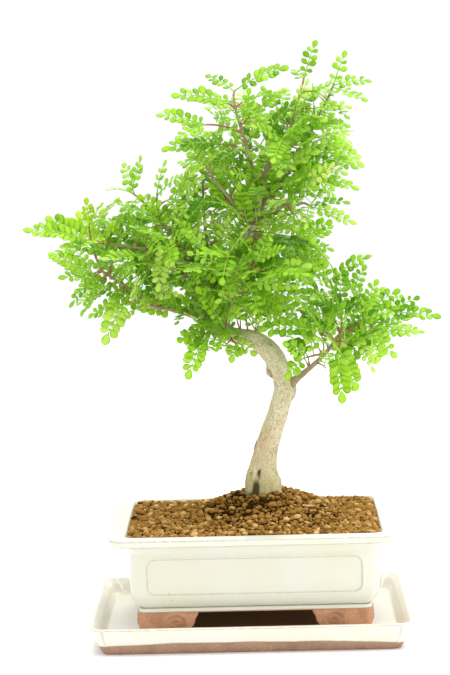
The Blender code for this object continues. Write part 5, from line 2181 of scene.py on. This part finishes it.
@dataclass
class Studio:
    """The floor, the lights and the camera.

    Attributes:
        place: The camera's place in millimetres.
        forward: The way that it looks.
        roll: Its roll in degrees.
        lens: Its focal length in millimetres.
    """

    place: Row = (13.3, -1585.7, 418.1)
    forward: Row = (-0.0177, 0.9922, -0.1235)
    roll: float = 1.502
    lens: float = 114.26

    def floor(self) -> None:
        """Lays the pale ground."""
        made = bmesh.new()
        bmesh.ops.create_grid(made, x_segments=8, y_segments=8, size=30.0)
        mesh = bpy.data.meshes.new("ground")
        made.to_mesh(mesh)
        made.free()
        mesh.materials.append(Floor().dress())
        ground = bpy.data.objects.new("ground", mesh)
        ground.location.z = -0.0002
        bpy.context.scene.collection.objects.link(ground)

    def lights(self) -> None:
        """Hangs the soft lights and sets the surroundings."""
        world = bpy.data.worlds.new("studio")
        world.use_nodes = True
        glow = world.node_tree.nodes["Background"]
        glow.inputs["Color"].default_value = (1.0, 1.0, 1.0, 1.0)
        glow.inputs["Strength"].default_value = 1.03
        bpy.context.scene.world = world
        for name, place, size, power in (
            ("over", (0.1, -0.1, 1.5), 1.2, 13.0),
            ("right", (1.3, -0.30, 0.70), 0.8, 5.0),
            ("back", (0.35, 1.1, 1.0), 0.9, 10.0),
        ):
            data = bpy.data.lights.new(name, "AREA")
            data.shape = "DISK"
            data.size = size
            data.energy = power
            lamp = bpy.data.objects.new(name, data)
            lamp.location = place
            aim = Vector((0, 0, 0.2)) - Vector(place)
            lamp.rotation_euler = aim.to_track_quat("-Z", "Y").to_euler()
            bpy.context.scene.collection.objects.link(lamp)

    def camera(self) -> None:
        """Sets up the camera."""
        look = Vector(self.forward).normalized()
        right = look.cross(Vector((0, 0, 1))).normalized()
        down = look.cross(right).normalized()
        roll = math.radians(self.roll)
        across = math.cos(roll) * right + math.sin(roll) * down
        below = math.cos(roll) * down - math.sin(roll) * right
        data = bpy.data.cameras.new("camera")
        data.lens = self.lens
        data.sensor_width = 36
        data.clip_start = 0.01
        data.clip_end = 50
        camera = bpy.data.objects.new("camera", data)
        turned = Matrix((across, -below, -look)).transposed()
        camera.matrix_world = Matrix.Translation(Vector(self.place) * MM) @ turned.to_4x4()
        bpy.context.scene.collection.objects.link(camera)
        bpy.context.scene.camera = camera

    def build(self) -> None:
        """Makes the whole studio."""
        self.floor()
        self.lights()
        self.camera()
        bpy.context.scene.view_settings.view_transform = "Standard"


def tree_foot() -> Array:
    """The middle of the trunk where it enters the soil.

    Returns:
        The place in millimetres.
    """
    _, _, middle = plan_of("pot")
    trunk_low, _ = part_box("trunk")
    return middle + np.array([TRUNK_ASIDE, 0.0, trunk_low.z / MM - TRUNK_LINE[0][2]])


def main() -> None:
    """Builds every piece in order."""
    logging.basicConfig(level=logging.INFO, format="%(name)s %(message)s", stream=sys.stdout)
    foot = tree_foot()
    LOG.info("tree foot %s", np.round(foot, 2))
    Tray(Glaze("tray_cream", shade(232, 231, 220), shade(178, 164, 128), shade(172, 138, 114),
               1.0).dress()).build()
    Pot(Glaze("pot_cream", shade(222, 221, 208), shade(150, 144, 112), shade(204, 152, 116)).dress()).build()
    screens = Plastic("screen_black", shade(44, 44, 46)).dress()
    for name in ("drain_screen_left", "drain_screen_right"):
        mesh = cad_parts[name].data
        mesh.materials.clear()
        mesh.materials.append(screens)
    earth = Earth("baked_clay", shade(62, 39, 9), shade(172, 128, 62), shade(232, 190, 124)).dress()
    chip = Bark("dry_wood", Age.GREEN, shade(150, 116, 74), shade(206, 176, 128), shade(240, 224, 190),
                shade(180, 150, 100), 0.2).dress()
    SoilBed(earth, chip, foot).build()
    old = Bark("old_bark", Age.OLD, shade(106, 90, 52), shade(222, 212, 176), shade(253, 250, 240),
               shade(164, 160, 94), 0.25).dress()
    grown = Bark("branch_bark", Age.GROWN, shade(96, 80, 58), shade(172, 152, 122), shade(222, 208, 184),
                 shade(140, 126, 84), 0.35).dress()
    wood = Wood(foot, old, grown)
    wood.build()
    twig = Bark("twig_bark", Age.GREEN, shade(124, 78, 52), shade(176, 126, 92), shade(222, 180, 142),
                shade(142, 134, 66), 0.45).dress()
    stalk = Stalk("leaf_stalk", shade(150, 160, 70), shade(152, 204, 56)).dress()
    upper = Blade("leaf_upper", shade(92, 162, 6), shade(180, 230, 50), shade(224, 244, 132),
                  shade(206, 234, 118), 0.36)
    under = Blade("leaf_under", shade(150, 200, 60), shade(190, 232, 96), shade(222, 242, 146),
                  shade(212, 236, 146), 0.6)
    fresh = Blade("young_upper", shade(166, 212, 2), shade(184, 224, 12), shade(216, 240, 84),
                  shade(212, 238, 100), 0.38)
    fresh_under = Blade("young_under", shade(170, 210, 22), shade(186, 222, 46), shade(216, 238, 100),
                        shade(214, 234, 108), 0.55)
    Foliage(foot, wood.limbs, twig, stalk, (upper.dress(), under.dress()),
            (fresh.dress(), fresh_under.dress())).build()
    Studio().build()


if __name__ == "__main__":
    main()
